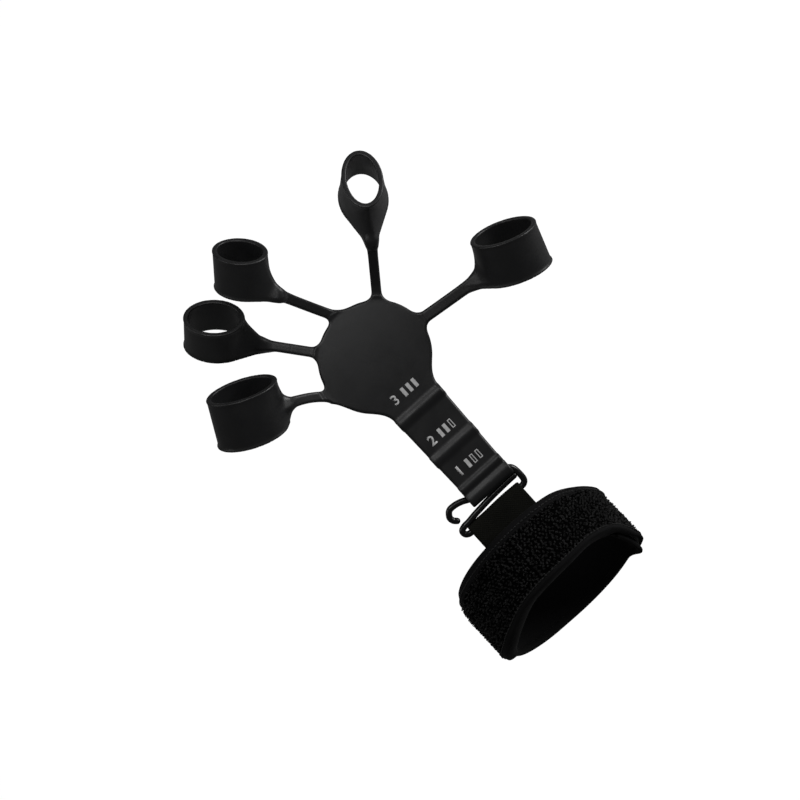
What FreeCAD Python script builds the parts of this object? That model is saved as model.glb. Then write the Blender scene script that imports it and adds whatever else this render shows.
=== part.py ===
import FreeCAD, Part
import Sketcher
import math
import os

# Finger exerciser: an elastic star (hub with stem, five arms, five finger
# loops) hooked onto a padded wristband.  The origin is the centre of the
# wristband opening; +Y runs along the wrist from forearm to fingers, +X
# points to the thumb side and +Z out of the palm.
V = FreeCAD.Vector
Rotation = FreeCAD.Rotation
Placement = FreeCAD.Placement
Constraint = Sketcher.Constraint
UP = V(0, 0, 1)

# Alias and value, in millimetres.  Angles are in degrees round the wristband,
# from +X towards +Z.  Layer heights (in, out, off) are measured outwards from
# the opening.
SIZES = [
    # wristband opening, length and front layers
    ("opening_half_width", 30.0), ("opening_half_depth", 20.5), ("band_half_length", 16.0),
    ("lining_thick", 0.8), ("core_thick", 1.8), ("face_thick", 2.4),
    ("front_start", 40.0), ("front_end", 186.5),
    # edge bindings: lip past the edge, inner limit from mid-length
    ("binding_lip", 0.4), ("binding_inset", 12.5), ("binding_thick", 0.5),
    # back strap
    ("strap_lining_in", 0.1), ("strap_lining_out", 0.9), ("strap_face_out", 2.3),
    ("strap_start", 190.5), ("strap_end", 392.0),
    ("strap_bound_margin", 6.0), ("strap_bound_end", 329.0), ("strap_binding_thick", 0.4),
    ("strap_pin_off", 1.2), ("strap_pin_rad", 1.1),
    # closing tail; margins are degrees
    ("tail_in", 2.5), ("patch_out", 3.1), ("tail_core_out", 3.9), ("tail_out", 5.0),
    ("tail_start", -25.0), ("tail_end", 36.5), ("tail_pin_off", 3.75), ("tail_pin_rad", 1.25),
    ("patch_end_margin", 6.0), ("patch_side_gap", 0.5),
    ("tail_binding_in", 2.42), ("tail_channel_in", 2.4), ("tail_bound_margin", 3.2),
    ("end_band_wrap", 1.2), ("end_band_lap", 7.0), ("end_band_gap", 0.05),
    # stitches; step, span and margins are degrees
    ("stitch_step", 5.0), ("stitch_len_deg", 3.0), ("stitch_width", 0.5), ("stitch_high", 0.25),
    ("stitch_margin", 3.0), ("tail_stitch_margin", 8.0), ("stitch_row_offset", 0.9),
    # webbing tab
    ("tab_centre_across", -2.2), ("tab_width", 25.4), ("tab_thick", 1.4),
    ("tab_inner_end", -9.0), ("tab_root_past", 1.2), ("tab_leaf_past", 0.6),
    ("tab_slab_height", 40.0), ("tab_eye_gap", 0.05),
    ("lower_bar_along", 24.0), ("lower_bar_height", 25.5),
    # star placement
    ("hub_across", 2.5), ("hub_along", 92.0), ("hub_height", 58.0), ("hub_tilt", 24.0),
    # hub and stem
    ("hub_radius", 22.7), ("hub_thick", 4.0),
    ("stem_half_width", 11.0), ("stem_end_half_width", 10.4), ("stem_length", 66.0),
    ("shoulder_along", 23.5), ("shoulder_across", 17.5),
    ("rib_radius", 2.7), ("rib_lift", 0.6), ("rib_three_along", 26.4), ("rib_two_along", 46.0),
    ("end_rib_radius", 2.9), ("tunnel_radius", 1.05),
    # arms and their sockets
    ("arm_width", 4.4), ("arm_thick", 3.2), ("arm_tip_gap", 0.05),
    ("knuckle_radius", 2.3), ("knuckle_width", 7.0),
    ("knuckle_gap", 0.05), ("knuckle_side_gap", 0.15), ("notch_reach", 10.0),
    ("len_thumb", 28.42), ("len_index", 31.00), ("len_middle", 32.70),
    ("len_ring", 23.97), ("len_pinky", 19.55),
    # finger loops
    ("loop_bore_radius", 9.3), ("loop_outer_radius", 10.9), ("loop_tall", 17.5),
    ("neck_ball", 2.1), ("neck_wide", 7.0), ("neck_deep", 4.2),
    ("neck_start", 0.6), ("neck_overlap", 0.5), ("guard_length", 12.0), ("guard_width", 20.0),
    # wire hook
    ("wire_radius", 1.0),
    # how far cutters run past what they cut (mm, or degrees along an arc)
    ("overrun", 1.0),
]

# Per finger, in the star's frame: knuckle angle on the hub rim (degrees from
# +X), arm tip, loop centre at mid height, loop axis towards the fingertip.
FINGERS = {
    "thumb": (-3.0, (49.69, -2.48, 8.72), (65.2, -4.9, 11.9), (0.3082, 0.8536, 0.42)),
    "index": (46.0, (30.69, 36.6, 18.1), (39.2, 50.1, 16.7), (0.2283, 0.2535, 0.94)),
    "middle": (93.0, (-10.57, 43.2, 23.66), (-15.5, 57.8, 19.3), (0.5208, 0.6264, 0.58)),
    "ring": (134.0, (-30.22, 35.42, 1.08), (-39.2, 48.5, 3.3), (0.4187, 0.4651, 0.78)),
    "pinky": (182.0, (-36.85, 7.55, 10.58), (-49.5, 16.9, 13.6), (0.3869, 0.8209, 0.42)),
}

doc = FreeCAD.newDocument("finger_exerciser")
sheet = doc.addObject("Spreadsheet::Sheet", "dims")
for row, (alias, value) in enumerate(SIZES, 1):
    sheet.set("A%d" % row, alias)
    sheet.set("B%d" % row, str(value))
    sheet.setAlias("B%d" % row, alias)
doc.recompute()

finals = []


def size(alias):
    return float(sheet.get(alias))


def finish(obj, label):
    """Label an object and list it for export."""
    obj.Label = label
    finals.append(obj)


def add_solid(label, shape):
    """Store a shape built in the wristband's frame as a finished piece."""
    if len(shape.Solids) == 1:
        shape = shape.Solids[0]
    obj = doc.addObject("Part::Feature", label)
    obj.Shape = shape
    obj.Placement = Placement()
    finish(obj, label)


OVERRUN = size("overrun")
WIRE_RADIUS = size("wire_radius")
BAR_Y, BAR_Z = size("lower_bar_along"), size("lower_bar_height")

# ---------------------------------------------------------------- wristband
HALF_LENGTH = size("band_half_length")
INSET = size("binding_inset")
BINDING = size("binding_thick")
LINING_OUT = size("lining_thick")
CORE_OUT = LINING_OUT + size("core_thick")
FACE_OUT = CORE_OUT + size("face_thick")
FRONT = size("front_start"), size("front_end")
STRAP = size("strap_start"), size("strap_end")
TAIL = size("tail_start"), size("tail_end")
# the finger-side (+Y) edge is called top, the forearm-side (-Y) edge lower
EDGES = ((1, "top"), (-1, "lower"))


def ring_point(off, deg, along):
    """Point on the elliptical layer at height off, in the plane y = along."""
    angle = math.radians(deg)
    return V((size("opening_half_width") + off) * math.cos(angle), along,
             (size("opening_half_depth") + off) * math.sin(angle))


def arc(off, degs, along):
    ellipse = Part.Ellipse(ring_point(off, 0, along), ring_point(off, 90, along), V(0, along, 0))
    return ellipse.toShape(math.radians(degs[0]), math.radians(degs[1]))


def sector(off_in, off_out, degs, y_start, y_end):
    """Part of an elliptical ring between two heights and angles, swept along Y."""
    first, last = [
        Part.makeLine(ring_point(off_in, deg, y_start), ring_point(off_out, deg, y_start))
        for deg in degs
    ]
    outer, inner = arc(off_out, degs, y_start), arc(off_in, degs, y_start)
    wire = Part.Wire(Part.__sortEdges__([outer, first, inner, last]))
    return Part.Face(wire).extrude(V(0, y_end - y_start, 0))


def full_sector(off_in, off_out, degs):
    return sector(off_in, off_out, degs, -HALF_LENGTH, HALF_LENGTH)


def pin(off, deg, radius):
    """Round bead along one end of a strap, as long as the band."""
    return Part.makeCylinder(radius, 2 * HALF_LENGTH, ring_point(off, deg, -HALF_LENGTH),
                             V(0, 1, 0))


def channel(off_in, off_out, wrap_in, wrap_out, degs, side):
    """Edge binding folded round one edge: side +1 at the fingers, -1 at the forearm."""
    y_wrap = sorted((side * INSET, side * (HALF_LENGTH + size("binding_lip"))))
    y_gap = sorted((side * (INSET - OVERRUN), side * HALF_LENGTH))
    return sector(wrap_in, wrap_out, degs, *y_wrap).cut(sector(off_in, off_out, degs, *y_gap))


def stitches(off, deg, deg_end):
    """Two rows of raised stitches, one on each edge binding."""
    row_y = INSET + size("stitch_row_offset")
    half = size("stitch_width") / 2
    span = size("stitch_len_deg")
    rows = []
    while deg + span < deg_end:
        for y in (row_y, -row_y):
            rows.append(sector(off, off + size("stitch_high"), (deg, deg + span),
                               y - half, y + half))
        deg += size("stitch_step")
    return Part.makeCompound(rows)


def make_tab():
    """Webbing tab: rooted between front core and face, folded round the lower bar."""
    width, thick = size("tab_width"), size("tab_thick")
    left = size("tab_centre_across") - width / 2
    inner_y = size("tab_inner_end")
    leaf_y = HALF_LENGTH + size("tab_leaf_past")
    eye = WIRE_RADIUS + size("tab_eye_gap")
    slab = Part.makeBox(width, HALF_LENGTH + 2 * OVERRUN - inner_y, size("tab_slab_height"),
                        V(left, inner_y, 0))
    root = sector(CORE_OUT, CORE_OUT + thick, FRONT, inner_y,
                  HALF_LENGTH + size("tab_root_past")).common(slab)
    leaf = Part.makeBox(width, BAR_Y - leaf_y, thick, V(left, leaf_y, BAR_Z - eye - thick))
    fold = Part.makeCylinder(eye + thick, width, V(left, BAR_Y, BAR_Z), V(1, 0, 0))
    tab = root.fuse([leaf, fold]).removeSplitter()
    return tab.cut(Part.makeCylinder(eye, width + 2 * OVERRUN,
                                     V(left - OVERRUN, BAR_Y, BAR_Z), V(1, 0, 0)))


def add_front(tab):
    """Palm-side (+Z) panel, with room left for the tab."""
    add_solid("front_lining", full_sector(0, LINING_OUT, FRONT))
    add_solid("front_core", full_sector(LINING_OUT, CORE_OUT, FRONT))
    add_solid("front_loop_face", full_sector(CORE_OUT, FACE_OUT, FRONT).cut(tab))
    bound_out = FACE_OUT + BINDING
    top, lower = [channel(0, FACE_OUT, -BINDING, bound_out, FRONT, side) for side, _ in EDGES]
    add_solid("front_top_binding", top.cut(tab))
    add_solid("front_lower_binding", lower)
    margin = size("stitch_margin")
    add_solid("binding_stitches", stitches(bound_out, FRONT[0] + margin, FRONT[1] - margin))


def add_back_strap():
    """Strap behind the wrist (-Z), running on under the closing tail."""
    inside, middle = size("strap_lining_in"), size("strap_lining_out")
    outside = size("strap_face_out")
    bead = pin(size("strap_pin_off"), STRAP[0], size("strap_pin_rad"))
    face = full_sector(middle, outside, STRAP).fuse(bead).removeSplitter()
    lining = full_sector(inside, middle, STRAP).cut(bead)
    add_solid("back_lining", lining)
    add_solid("back_loop_face", face.cut(lining))
    bound = STRAP[0] + size("strap_bound_margin"), size("strap_bound_end")
    thick = size("strap_binding_thick")
    for side, edge in EDGES:
        add_solid("back_%s_binding" % edge,
                  channel(inside, outside, inside - thick, outside + thick, bound, side))


def add_tail():
    """Closing tail with the hook patch, over the back strap at the thumb side (+X)."""
    start, end = TAIL
    inside, patch_out = size("tail_in"), size("patch_out")
    core_out, outside = size("tail_core_out"), size("tail_out")
    bound_out = outside + BINDING
    bead = pin(size("tail_pin_off"), end, size("tail_pin_rad"))
    add_solid("tail_core", full_sector(patch_out, core_out, TAIL).fuse(bead).removeSplitter())
    patch_y = HALF_LENGTH - size("patch_side_gap")
    patch = sector(inside, patch_out, (start, end - size("patch_end_margin")), -patch_y, patch_y)
    add_solid("tail_hook_patch", patch.cut(bead))
    add_solid("tail_loop_face", full_sector(core_out, outside, TAIL).cut(bead))
    bound = start, end - size("tail_bound_margin")
    for side, edge in EDGES:
        add_solid("tail_%s_binding" % edge,
                  channel(size("tail_channel_in"), outside, size("tail_binding_in"), bound_out,
                          bound, side))

    # binding across the tail's free end, between the two edge bindings
    band_y = INSET - size("end_band_gap")
    lap_end = start + size("end_band_lap")
    band = sector(inside, bound_out, (start - size("end_band_wrap"), lap_end), -band_y, band_y)
    add_solid("tail_end_binding",
              band.cut(sector(inside - OVERRUN, outside, (start, lap_end + OVERRUN),
                              -INSET - OVERRUN, INSET + OVERRUN)))
    add_solid("tail_stitches", stitches(bound_out, start + size("stitch_margin"),
                                        end - size("tail_stitch_margin")))


webbing_tab = make_tab()
add_solid("webbing_tab", webbing_tab)
add_front(webbing_tab)
add_back_strap()
add_tail()

# ---------------------------------------------------------------- wire hook
# The star's frame: hub centre at the origin, stem along -Y, tilted about X.
STAR = Placement(V(size("hub_across"), size("hub_along"), size("hub_height")),
                 Rotation(V(1, 0, 0), size("hub_tilt")))


def add_wire_hook():
    """One bent wire: top bar through the stem's end, lower bar through the tab."""
    top_bar = STAR.multVec(V(0, -size("stem_length"), 0))
    drop = V(0, BAR_Y - top_bar.y, BAR_Z - top_bar.z)
    gap = drop.Length
    down = V(drop).normalize()
    # across (X), distance from the top bar towards the lower bar, bend radius
    corners = [
        (-19.3, 2.9, None), (-20.3, 0.8, 1.1), (-17.6, -1.5, 1.4), (-13.6, 0.0, 3.0),
        (12.6, 0.0, 1.6), (10.3, gap, 1.6), (-20.0, gap, 1.4), (-19.7, 6.1, 1.2),
        (-14.0, 4.8, 2.0), (7.6, 5.1, None),
    ]
    points = [top_bar + V(across, 0, 0) + down * below for across, below, _ in corners]
    edges, last = [], points[0]
    for i in range(1, len(points) - 1):
        corner = points[i]
        back = (points[i - 1] - corner).normalize()
        ahead = (points[i + 1] - corner).normalize()
        half_angle = math.acos(max(-1, min(1, back.dot(ahead)))) / 2
        radius = corners[i][2]
        trim = radius / math.tan(half_angle)
        bend_start, bend_end = corner + back * trim, corner + ahead * trim
        inward = (back + ahead).normalize()
        bend_mid = corner + inward * (radius / math.sin(half_angle) - radius)
        edges.append(Part.makeLine(last, bend_start))
        edges.append(Part.Arc(bend_start, bend_mid, bend_end).toShape())
        last = bend_end
    edges.append(Part.makeLine(last, points[-1]))
    start_dir = (points[1] - points[0]).normalize()
    section = Part.Wire(Part.makeCircle(WIRE_RADIUS, points[0], start_dir))
    add_solid("wire_hook", Part.Wire(edges).makePipeShell([section], True, True))


add_wire_hook()

# ---------------------------------------------------------------- hub and stem
HUB_RADIUS = size("hub_radius")
body = doc.addObject("PartDesign::Body", "hub_stem_body")


def add_sketch(name, role):
    sketch = body.newObject("Sketcher::SketchObject", name)
    origin_plane = next(f for f in body.Origin.OriginFeatures if f.Role == role)
    sketch.AttachmentSupport = [(origin_plane, "")]
    sketch.MapMode = "FlatFace"
    return sketch


def drive(sketch, alias, *constraint):
    """Add a dimension to a sketch and bind it to the sheet."""
    index = sketch.addConstraint(Constraint(*constraint, size(alias)))
    sketch.renameConstraint(index, "c_" + alias)
    sketch.setExpression("Constraints.c_" + alias, "dims." + alias)


def add_symmetric(kind, name, sketch, length):
    """Pad or pocket centred on its sketch plane; length is an expression."""
    feature = body.newObject("PartDesign::" + kind, name)
    feature.Profile = sketch
    feature.setExpression("Length", length)
    # guards against builds that have Midplane in place of SideType
    try:
        feature.SideType = "Symmetric"
    except Exception:
        feature.Midplane = True
    doc.recompute()


def add_plate():
    """Flat plate: round hub, tapering shoulders and straight stem."""
    half, across = size("stem_half_width"), size("shoulder_across")
    shoulder_y, end_y = -size("shoulder_along"), -size("stem_length")
    rim_y = -math.sqrt(HUB_RADIUS ** 2 - across ** 2)
    sketch = add_sketch("outline", "XY_Plane")
    rim = Part.Circle(V(0, 0, 0), UP, HUB_RADIUS)
    sketch.addGeometry(Part.ArcOfCircle(rim, math.atan2(rim_y, across),
                                        math.atan2(rim_y, -across) + 2 * math.pi), False)
    outline = [
        V(-across, rim_y, 0), V(-half, shoulder_y, 0), V(-half, end_y, 0),
        V(half, end_y, 0), V(half, shoulder_y, 0), V(across, rim_y, 0),
    ]
    for start, end in zip(outline, outline[1:]):
        sketch.addGeometry(Part.LineSegment(start, end), False)
    # geometry 0 is the rim, 1 to 5 the lines; -1 start is the origin, -2 the Y axis
    sketch.addConstraint(Constraint("Coincident", 0, 3, -1, 1))
    sketch.addConstraint(Constraint("Coincident", 0, 2, 1, 1))
    for i in range(1, 5):
        sketch.addConstraint(Constraint("Coincident", i, 2, i + 1, 1))
    sketch.addConstraint(Constraint("Coincident", 5, 2, 0, 1))
    sketch.addConstraint(Constraint("Vertical", 2))
    sketch.addConstraint(Constraint("Vertical", 4))
    sketch.addConstraint(Constraint("Horizontal", 3))
    sketch.addConstraint(Constraint("Horizontal", 1, 1, 5, 2))
    sketch.addConstraint(Constraint("Symmetric", 1, 2, 4, 2, -2))
    drive(sketch, "hub_radius", "Radius", 0)
    drive(sketch, "stem_half_width", "DistanceX", 3, 1, -1, 1)
    drive(sketch, "stem_length", "DistanceY", 3, 1, -1, 1)
    drive(sketch, "shoulder_along", "DistanceY", 1, 2, -1, 1)
    drive(sketch, "shoulder_across", "DistanceX", 1, 1, -1, 1)
    add_symmetric("Pad", "plate", sketch, "dims.hub_thick")


def circle_sketch(name, along, lift, radius):
    """Circle in the YZ plane, along the stem and lifted off its mid-plane."""
    sketch = add_sketch(name + "_sketch", "YZ_Plane")
    centre = V(-size(along), size(lift) if lift else 0, 0)
    sketch.addGeometry(Part.Circle(centre, UP, size(radius)), False)
    if not lift:
        sketch.addConstraint(Constraint("PointOnObject", 0, 3, -1))
    drive(sketch, radius, "Radius", 0)
    drive(sketch, along, "DistanceX", 0, 3, -1, 1)
    if lift:
        drive(sketch, lift, "DistanceY", -1, 1, 0, 3)
    return sketch


# Cross ribs on the stem, each with a tunnel: place along, lift, radius, half width.
RIBS = {
    "three": ("rib_three_along", "rib_lift", "rib_radius", "stem_half_width"),
    "two": ("rib_two_along", "rib_lift", "rib_radius", "stem_half_width"),
    "end": ("stem_length", None, "end_rib_radius", "stem_end_half_width"),
}
add_plate()
for tag, (along, lift, radius, half_width) in RIBS.items():
    rib_sketch = circle_sketch("rib_" + tag, along, lift, radius)
    add_symmetric("Pad", "rib_" + tag, rib_sketch, "2 * dims." + half_width)
for tag, (along, lift, _, _) in RIBS.items():
    tunnel_sketch = circle_sketch("tunnel_" + tag, along, lift, "tunnel_radius")
    add_symmetric("Pocket", "tunnel_" + tag, tunnel_sketch,
                  "2 * dims.stem_half_width + 4 * dims.overrun")

# ---------------------------------------------------------------- arms and loops
# These turn a cylinder's own axis (+Z) onto local +Y or +X.
ALONG_Y = Rotation(V(1, 0, 0), -90)
ALONG_X = Rotation(V(0, 1, 0), 90)


def frame_from(x_dir, z_hint, origin):
    """Placement whose local X is x_dir and whose local Z is as near z_hint as it can be."""
    x = V(x_dir).normalize()
    y = z_hint.cross(x).normalize()
    z = x.cross(y)
    return Placement(FreeCAD.Matrix(
        x.x, y.x, z.x, origin.x,
        x.y, y.y, z.y, origin.y,
        x.z, y.z, z.z, origin.z,
        0, 0, 0, 1))


def local(frame, offset, rotation=Rotation()):
    return frame.multiply(Placement(V(*offset), rotation))


def add_bound(kind, name, placement, **expressions):
    """Part primitive with its sizes given as expressions."""
    obj = doc.addObject("Part::" + kind, name)
    for prop, expression in expressions.items():
        obj.setExpression(prop, expression)
    obj.Placement = placement
    return obj


def add_fusion(name, shapes):
    fusion = doc.addObject("Part::MultiFuse", name)
    fusion.Shapes = shapes
    return fusion


def add_notch(finger, root, chord):
    """Cutters for the hub's socket: round at the knuckle, open outwards."""
    frame = frame_from(V(chord.x, chord.y, 0), UP, root)
    side_y = -size("knuckle_width") / 2 - size("knuckle_side_gap")
    width = "dims.knuckle_width + 2 * dims.knuckle_side_gap"
    return [
        add_bound("Cylinder", "notch_round_" + finger, local(frame, (0, side_y, 0), ALONG_Y),
                  Radius="dims.knuckle_radius + dims.knuckle_gap", Height=width),
        add_bound("Box", "notch_open_" + finger,
                  local(frame, (0, side_y, -size("hub_thick") / 2 - OVERRUN)),
                  Length="dims.notch_reach", Width=width,
                  Height="dims.hub_thick + 2 * dims.overrun"),
    ]


def add_arm(finger, frame):
    """Round knuckle in the hub's socket and a flat bar out to the loop."""
    knuckle = add_bound("Cylinder", "knuckle_" + finger,
                        local(frame, (0, -size("knuckle_width") / 2, 0), ALONG_Y),
                        Radius="dims.knuckle_radius", Height="dims.knuckle_width")
    bar = add_bound("Box", "bar_" + finger,
                    local(frame, (0, -size("arm_width") / 2, -size("arm_thick") / 2)),
                    Length="dims.len_%s - dims.neck_ball - dims.arm_tip_gap" % finger,
                    Width="dims.arm_width", Height="dims.arm_thick")
    finish(add_fusion("arm_build_" + finger, [knuckle, bar]), "arm_" + finger)


def add_loop(finger, arm_frame, arm_length, tip, middle, axis):
    """Short tube with a neck and a rounded root at the arm's tip."""
    half_tall = size("loop_tall") / 2
    # a loop axis close to the star's Z needs another hint
    hint = UP if abs(axis.z) < 0.9 else V(1, 0, 0)
    loop_frame = STAR.multiply(frame_from(axis, hint, middle))
    tube = add_bound("Cylinder", "tube_" + finger, local(loop_frame, (-half_tall, 0, 0), ALONG_X),
                     Radius="dims.loop_outer_radius", Height="dims.loop_tall")
    bore = add_bound("Cylinder", "bore_" + finger,
                     local(loop_frame, (-half_tall - 2 * OVERRUN, 0, 0), ALONG_X),
                     Radius="dims.loop_bore_radius", Height="dims.loop_tall + 4 * dims.overrun")

    # the neck runs square to the loop's axis
    reach = middle - axis * (middle - tip).dot(axis) - tip
    neck_frame = STAR.multiply(frame_from(reach, axis, tip))
    neck_corner = (size("neck_start"), -size("neck_wide") / 2, -size("neck_deep") / 2)
    neck = add_bound("Box", "neck_" + finger, local(neck_frame, neck_corner),
                     Length="%f - dims.loop_bore_radius + dims.neck_overlap" % reach.Length,
                     Width="dims.neck_wide", Height="dims.neck_deep")
    ball = add_bound("Sphere", "ball_" + finger, neck_frame, Radius="dims.neck_ball")

    # the guard keeps the neck's root clear of the arm's end
    guard_x = arm_length - size("neck_ball") - size("guard_length")
    guard_side = -size("guard_width") / 2
    guard = add_bound("Box", "guard_" + finger, local(arm_frame, (guard_x, guard_side, guard_side)),
                      Length="dims.guard_length", Width="dims.guard_width",
                      Height="dims.guard_width")
    loop = doc.addObject("Part::Cut", "loop_build_" + finger)
    loop.Base = add_fusion("loop_whole_" + finger, [tube, neck, ball])
    loop.Tool = add_fusion("loop_cutter_" + finger, [bore, guard])
    finish(loop, "loop_" + finger)


notches = []
for finger, (rim_deg, tip, middle, axis) in FINGERS.items():
    rim_angle = math.radians(rim_deg)
    root = V(HUB_RADIUS * math.cos(rim_angle), HUB_RADIUS * math.sin(rim_angle), 0)
    tip = V(*tip)
    chord = tip - root
    arm_frame = STAR.multiply(frame_from(chord, UP, root))
    notches += add_notch(finger, root, chord)
    add_arm(finger, arm_frame)
    add_loop(finger, arm_frame, chord.Length, tip, V(*middle), V(*axis).normalize())

hub = doc.addObject("Part::Cut", "hub_build")
hub.Base = body
hub.Tool = add_fusion("sockets", notches)
hub.Placement = STAR
finish(hub, "hub_and_stem")

# ---------------------------------------------------------------- export
doc.recompute()
bad = [o.Name for o in doc.Objects if "Invalid" in o.State or "Error" in o.State]
if bad:
    raise SystemExit("failed objects: " + ", ".join(bad))
for obj in finals:
    if obj.Shape.isNull() or not obj.Shape.isValid() or not obj.Shape.Solids:
        raise SystemExit("bad shape: " + obj.Label)
os.makedirs("parts", exist_ok=True)
for obj in finals:
    obj.Shape.exportStep("parts/%s.step" % obj.Label)
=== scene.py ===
"""Hand exerciser: five silicone finger loops on a star-shaped plate with a ladder-like stem.
A bent wire through the stem and a webbing tab tie the plate to a padded wristband.

Row frame: the wristband runs round the Y axis, centred on the origin.  +Y points towards
the fingers, +X to the thumb side and +Z up.  The plate hangs above, tilted up towards +Y.
Geometry is worked out in millimetres, and scaled to metres when a mesh is made.
Stage, light and material lengths are in metres.
"""
import math

import bmesh
import bpy
import numpy as np
from mathutils import Matrix, Vector


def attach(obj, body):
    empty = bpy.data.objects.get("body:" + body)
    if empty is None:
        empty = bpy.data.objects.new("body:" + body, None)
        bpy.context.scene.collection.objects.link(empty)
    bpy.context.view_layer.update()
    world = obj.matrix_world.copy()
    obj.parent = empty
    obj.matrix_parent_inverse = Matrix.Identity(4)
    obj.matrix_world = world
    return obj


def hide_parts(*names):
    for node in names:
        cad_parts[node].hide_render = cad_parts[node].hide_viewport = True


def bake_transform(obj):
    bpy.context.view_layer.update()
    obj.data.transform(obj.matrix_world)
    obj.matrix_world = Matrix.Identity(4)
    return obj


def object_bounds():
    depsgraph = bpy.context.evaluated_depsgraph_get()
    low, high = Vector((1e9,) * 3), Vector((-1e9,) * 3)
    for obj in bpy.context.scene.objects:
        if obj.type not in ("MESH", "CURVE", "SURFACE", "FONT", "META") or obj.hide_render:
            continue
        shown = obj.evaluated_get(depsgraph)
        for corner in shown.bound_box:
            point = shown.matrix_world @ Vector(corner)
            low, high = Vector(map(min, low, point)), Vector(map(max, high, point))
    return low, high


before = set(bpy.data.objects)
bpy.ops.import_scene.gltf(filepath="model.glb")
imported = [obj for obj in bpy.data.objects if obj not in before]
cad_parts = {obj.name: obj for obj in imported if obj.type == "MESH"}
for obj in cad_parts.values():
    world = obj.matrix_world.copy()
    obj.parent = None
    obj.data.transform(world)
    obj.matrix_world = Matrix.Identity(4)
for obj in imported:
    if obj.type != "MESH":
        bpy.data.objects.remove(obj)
cad_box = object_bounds()
MM = 0.001

# mesh fineness
SKIN_CELL = 0.4      # grid cell of the hub and loops, mm
ROOT_CELL = 0.3       # grid cell of the arm roots, mm
WIRE_STEPS_PER_MM = 3.5
WIRE_SIDES = 20
BAND_STEPS = 130       # round the front panel or the back strap
TAIL_STEPS = 60
WIDTH_STEPS = 34       # across the band
END_STEPS = 48
TAB_LENGTH_STEPS = 190
TAB_WIDTH_STEPS = 150
ARCHES_PER_TUFT = 4


# ----------------------------------------------------------------- mesh helpers
def recalc_normals(mesh):
    """Turn all faces outwards, and keep the end caps crisp so they don't shade the sides."""
    work = bmesh.new()
    work.from_mesh(mesh)
    bmesh.ops.recalc_face_normals(work, faces=work.faces)
    for face in work.faces:
        if len(face.verts) > 4:
            for edge in face.edges:
                edge.smooth = False
    work.to_mesh(mesh)
    work.free()


def paint(piece, finish):
    slot, material = finish
    piece.data.materials.clear()
    piece.data.materials.append(material)


def make(name, points, faces, finish, recalc=True):
    """Smooth mesh object from millimetre points in the row frame."""
    mesh = bpy.data.meshes.new(name)
    mesh.from_pydata((np.asarray(points, float) * MM).tolist(), [], faces)
    mesh.validate()
    mesh.polygons.foreach_set("use_smooth", np.ones(len(mesh.polygons), bool))
    mesh.update()
    piece = bpy.data.objects.new(name, mesh)
    bpy.context.scene.collection.objects.link(piece)
    if recalc:
        recalc_normals(mesh)
    paint(piece, finish)
    return piece


def ride(piece, body, *nodes):
    """Fix the piece to one body, in place of the named nodes if any."""
    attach(piece, body)
    if nodes:
        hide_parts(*nodes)
    return piece


def ring_faces(rings, sides, first=0):
    """Faces of a capped tube of point rings; the two caps come last."""
    faces = []
    for i in range(rings - 1):
        for j in range(sides):
            near, far = first + i * sides + j, first + i * sides + (j + 1) % sides
            faces.append([near, far, far + sides, near + sides])
    faces.append([first + j for j in range(sides)][::-1])
    faces.append([first + (rings - 1) * sides + j for j in range(sides)])
    return faces


def shell_faces(rows, columns):
    """Faces of a closed sheet: one grid of points, then a second grid behind it."""
    back = rows * columns
    start = (np.arange(rows - 1)[:, None] * columns + np.arange(columns - 1)[None]).ravel()
    across, along, both = start + 1, start + columns, start + columns + 1
    faces = np.stack([start, across, both, along], 1).tolist()
    faces += np.stack([start + back, along + back, both + back, across + back], 1).tolist()
    for i in range(rows - 1):
        corner = i * columns
        faces.append([corner, corner + columns, corner + columns + back, corner + back])
        corner += columns - 1
        faces.append([corner, corner + back, corner + columns + back, corner + columns])
    for i in range(columns - 1):
        faces.append([i, i + back, i + 1 + back, i + 1])
        corner = (rows - 1) * columns + i
        faces.append([corner, corner + 1, corner + 1 + back, corner + back])
    return faces


def unit(vector):
    vector = np.asarray(vector, float)
    return vector / np.linalg.norm(vector)


# ----------------------------------------------------------------- distance fields
def smooth_min(one, other, width):
    """Union of two distances with a fillet of the given width."""
    mix = np.clip(0.5 + 0.5 * (other - one) / width, 0, 1)
    return other * (1 - mix) + one * mix - width * mix * (1 - mix)


def smooth_max(one, other, width):
    return -smooth_min(-one, -other, width)


def rounded(side, end, radius):
    """Rounded corner between two slabs, each given as a signed distance."""
    side, end = side + radius, end + radius
    outside = np.hypot(np.maximum(side, 0), np.maximum(end, 0))
    return np.minimum(np.maximum(side, end), 0) + outside - radius


def sample_field(field, low, count, cell):
    """Field values on the grid, worked out in blocks to limit memory."""
    xs, ys, zs = [low[i] + cell * np.arange(count[i]) for i in range(3)]
    values = np.empty(count, np.float64)
    grid_y, grid_z = np.meshgrid(ys, zs, indexing="ij")
    block = max(1, int(250000 / (count[1] * count[2])))
    for start in range(0, count[0], block):
        part = xs[start:start + block]
        points = np.empty((len(part), count[1], count[2], 3))
        points[..., 0] = part[:, None, None]
        points[..., 1] = grid_y
        points[..., 2] = grid_z
        sampled = field(points.reshape(-1, 3))
        values[start:start + block] = sampled.reshape(points.shape[:3])
    return values


def crossing_points(values, cells, corners):
    """Mean of the surface crossings on the edges of each cell, in grid units."""
    total = np.zeros((len(cells), 3))
    hits = np.zeros(len(cells))
    for corner in corners:
        for axis in range(3):
            if corner[axis]:
                continue
            next_corner = corner.copy()
            next_corner[axis] = 1
            start = values[tuple((cells + corner).T)]
            end = values[tuple((cells + next_corner).T)]
            hit = (start < 0) != (end < 0)
            share = np.where(hit, start / np.where(hit, start - end, 1), 0)
            total[hit] += (corner + share[:, None] * (next_corner - corner))[hit]
            hits[hit] += 1
    return cells + total / hits[:, None]


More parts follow.
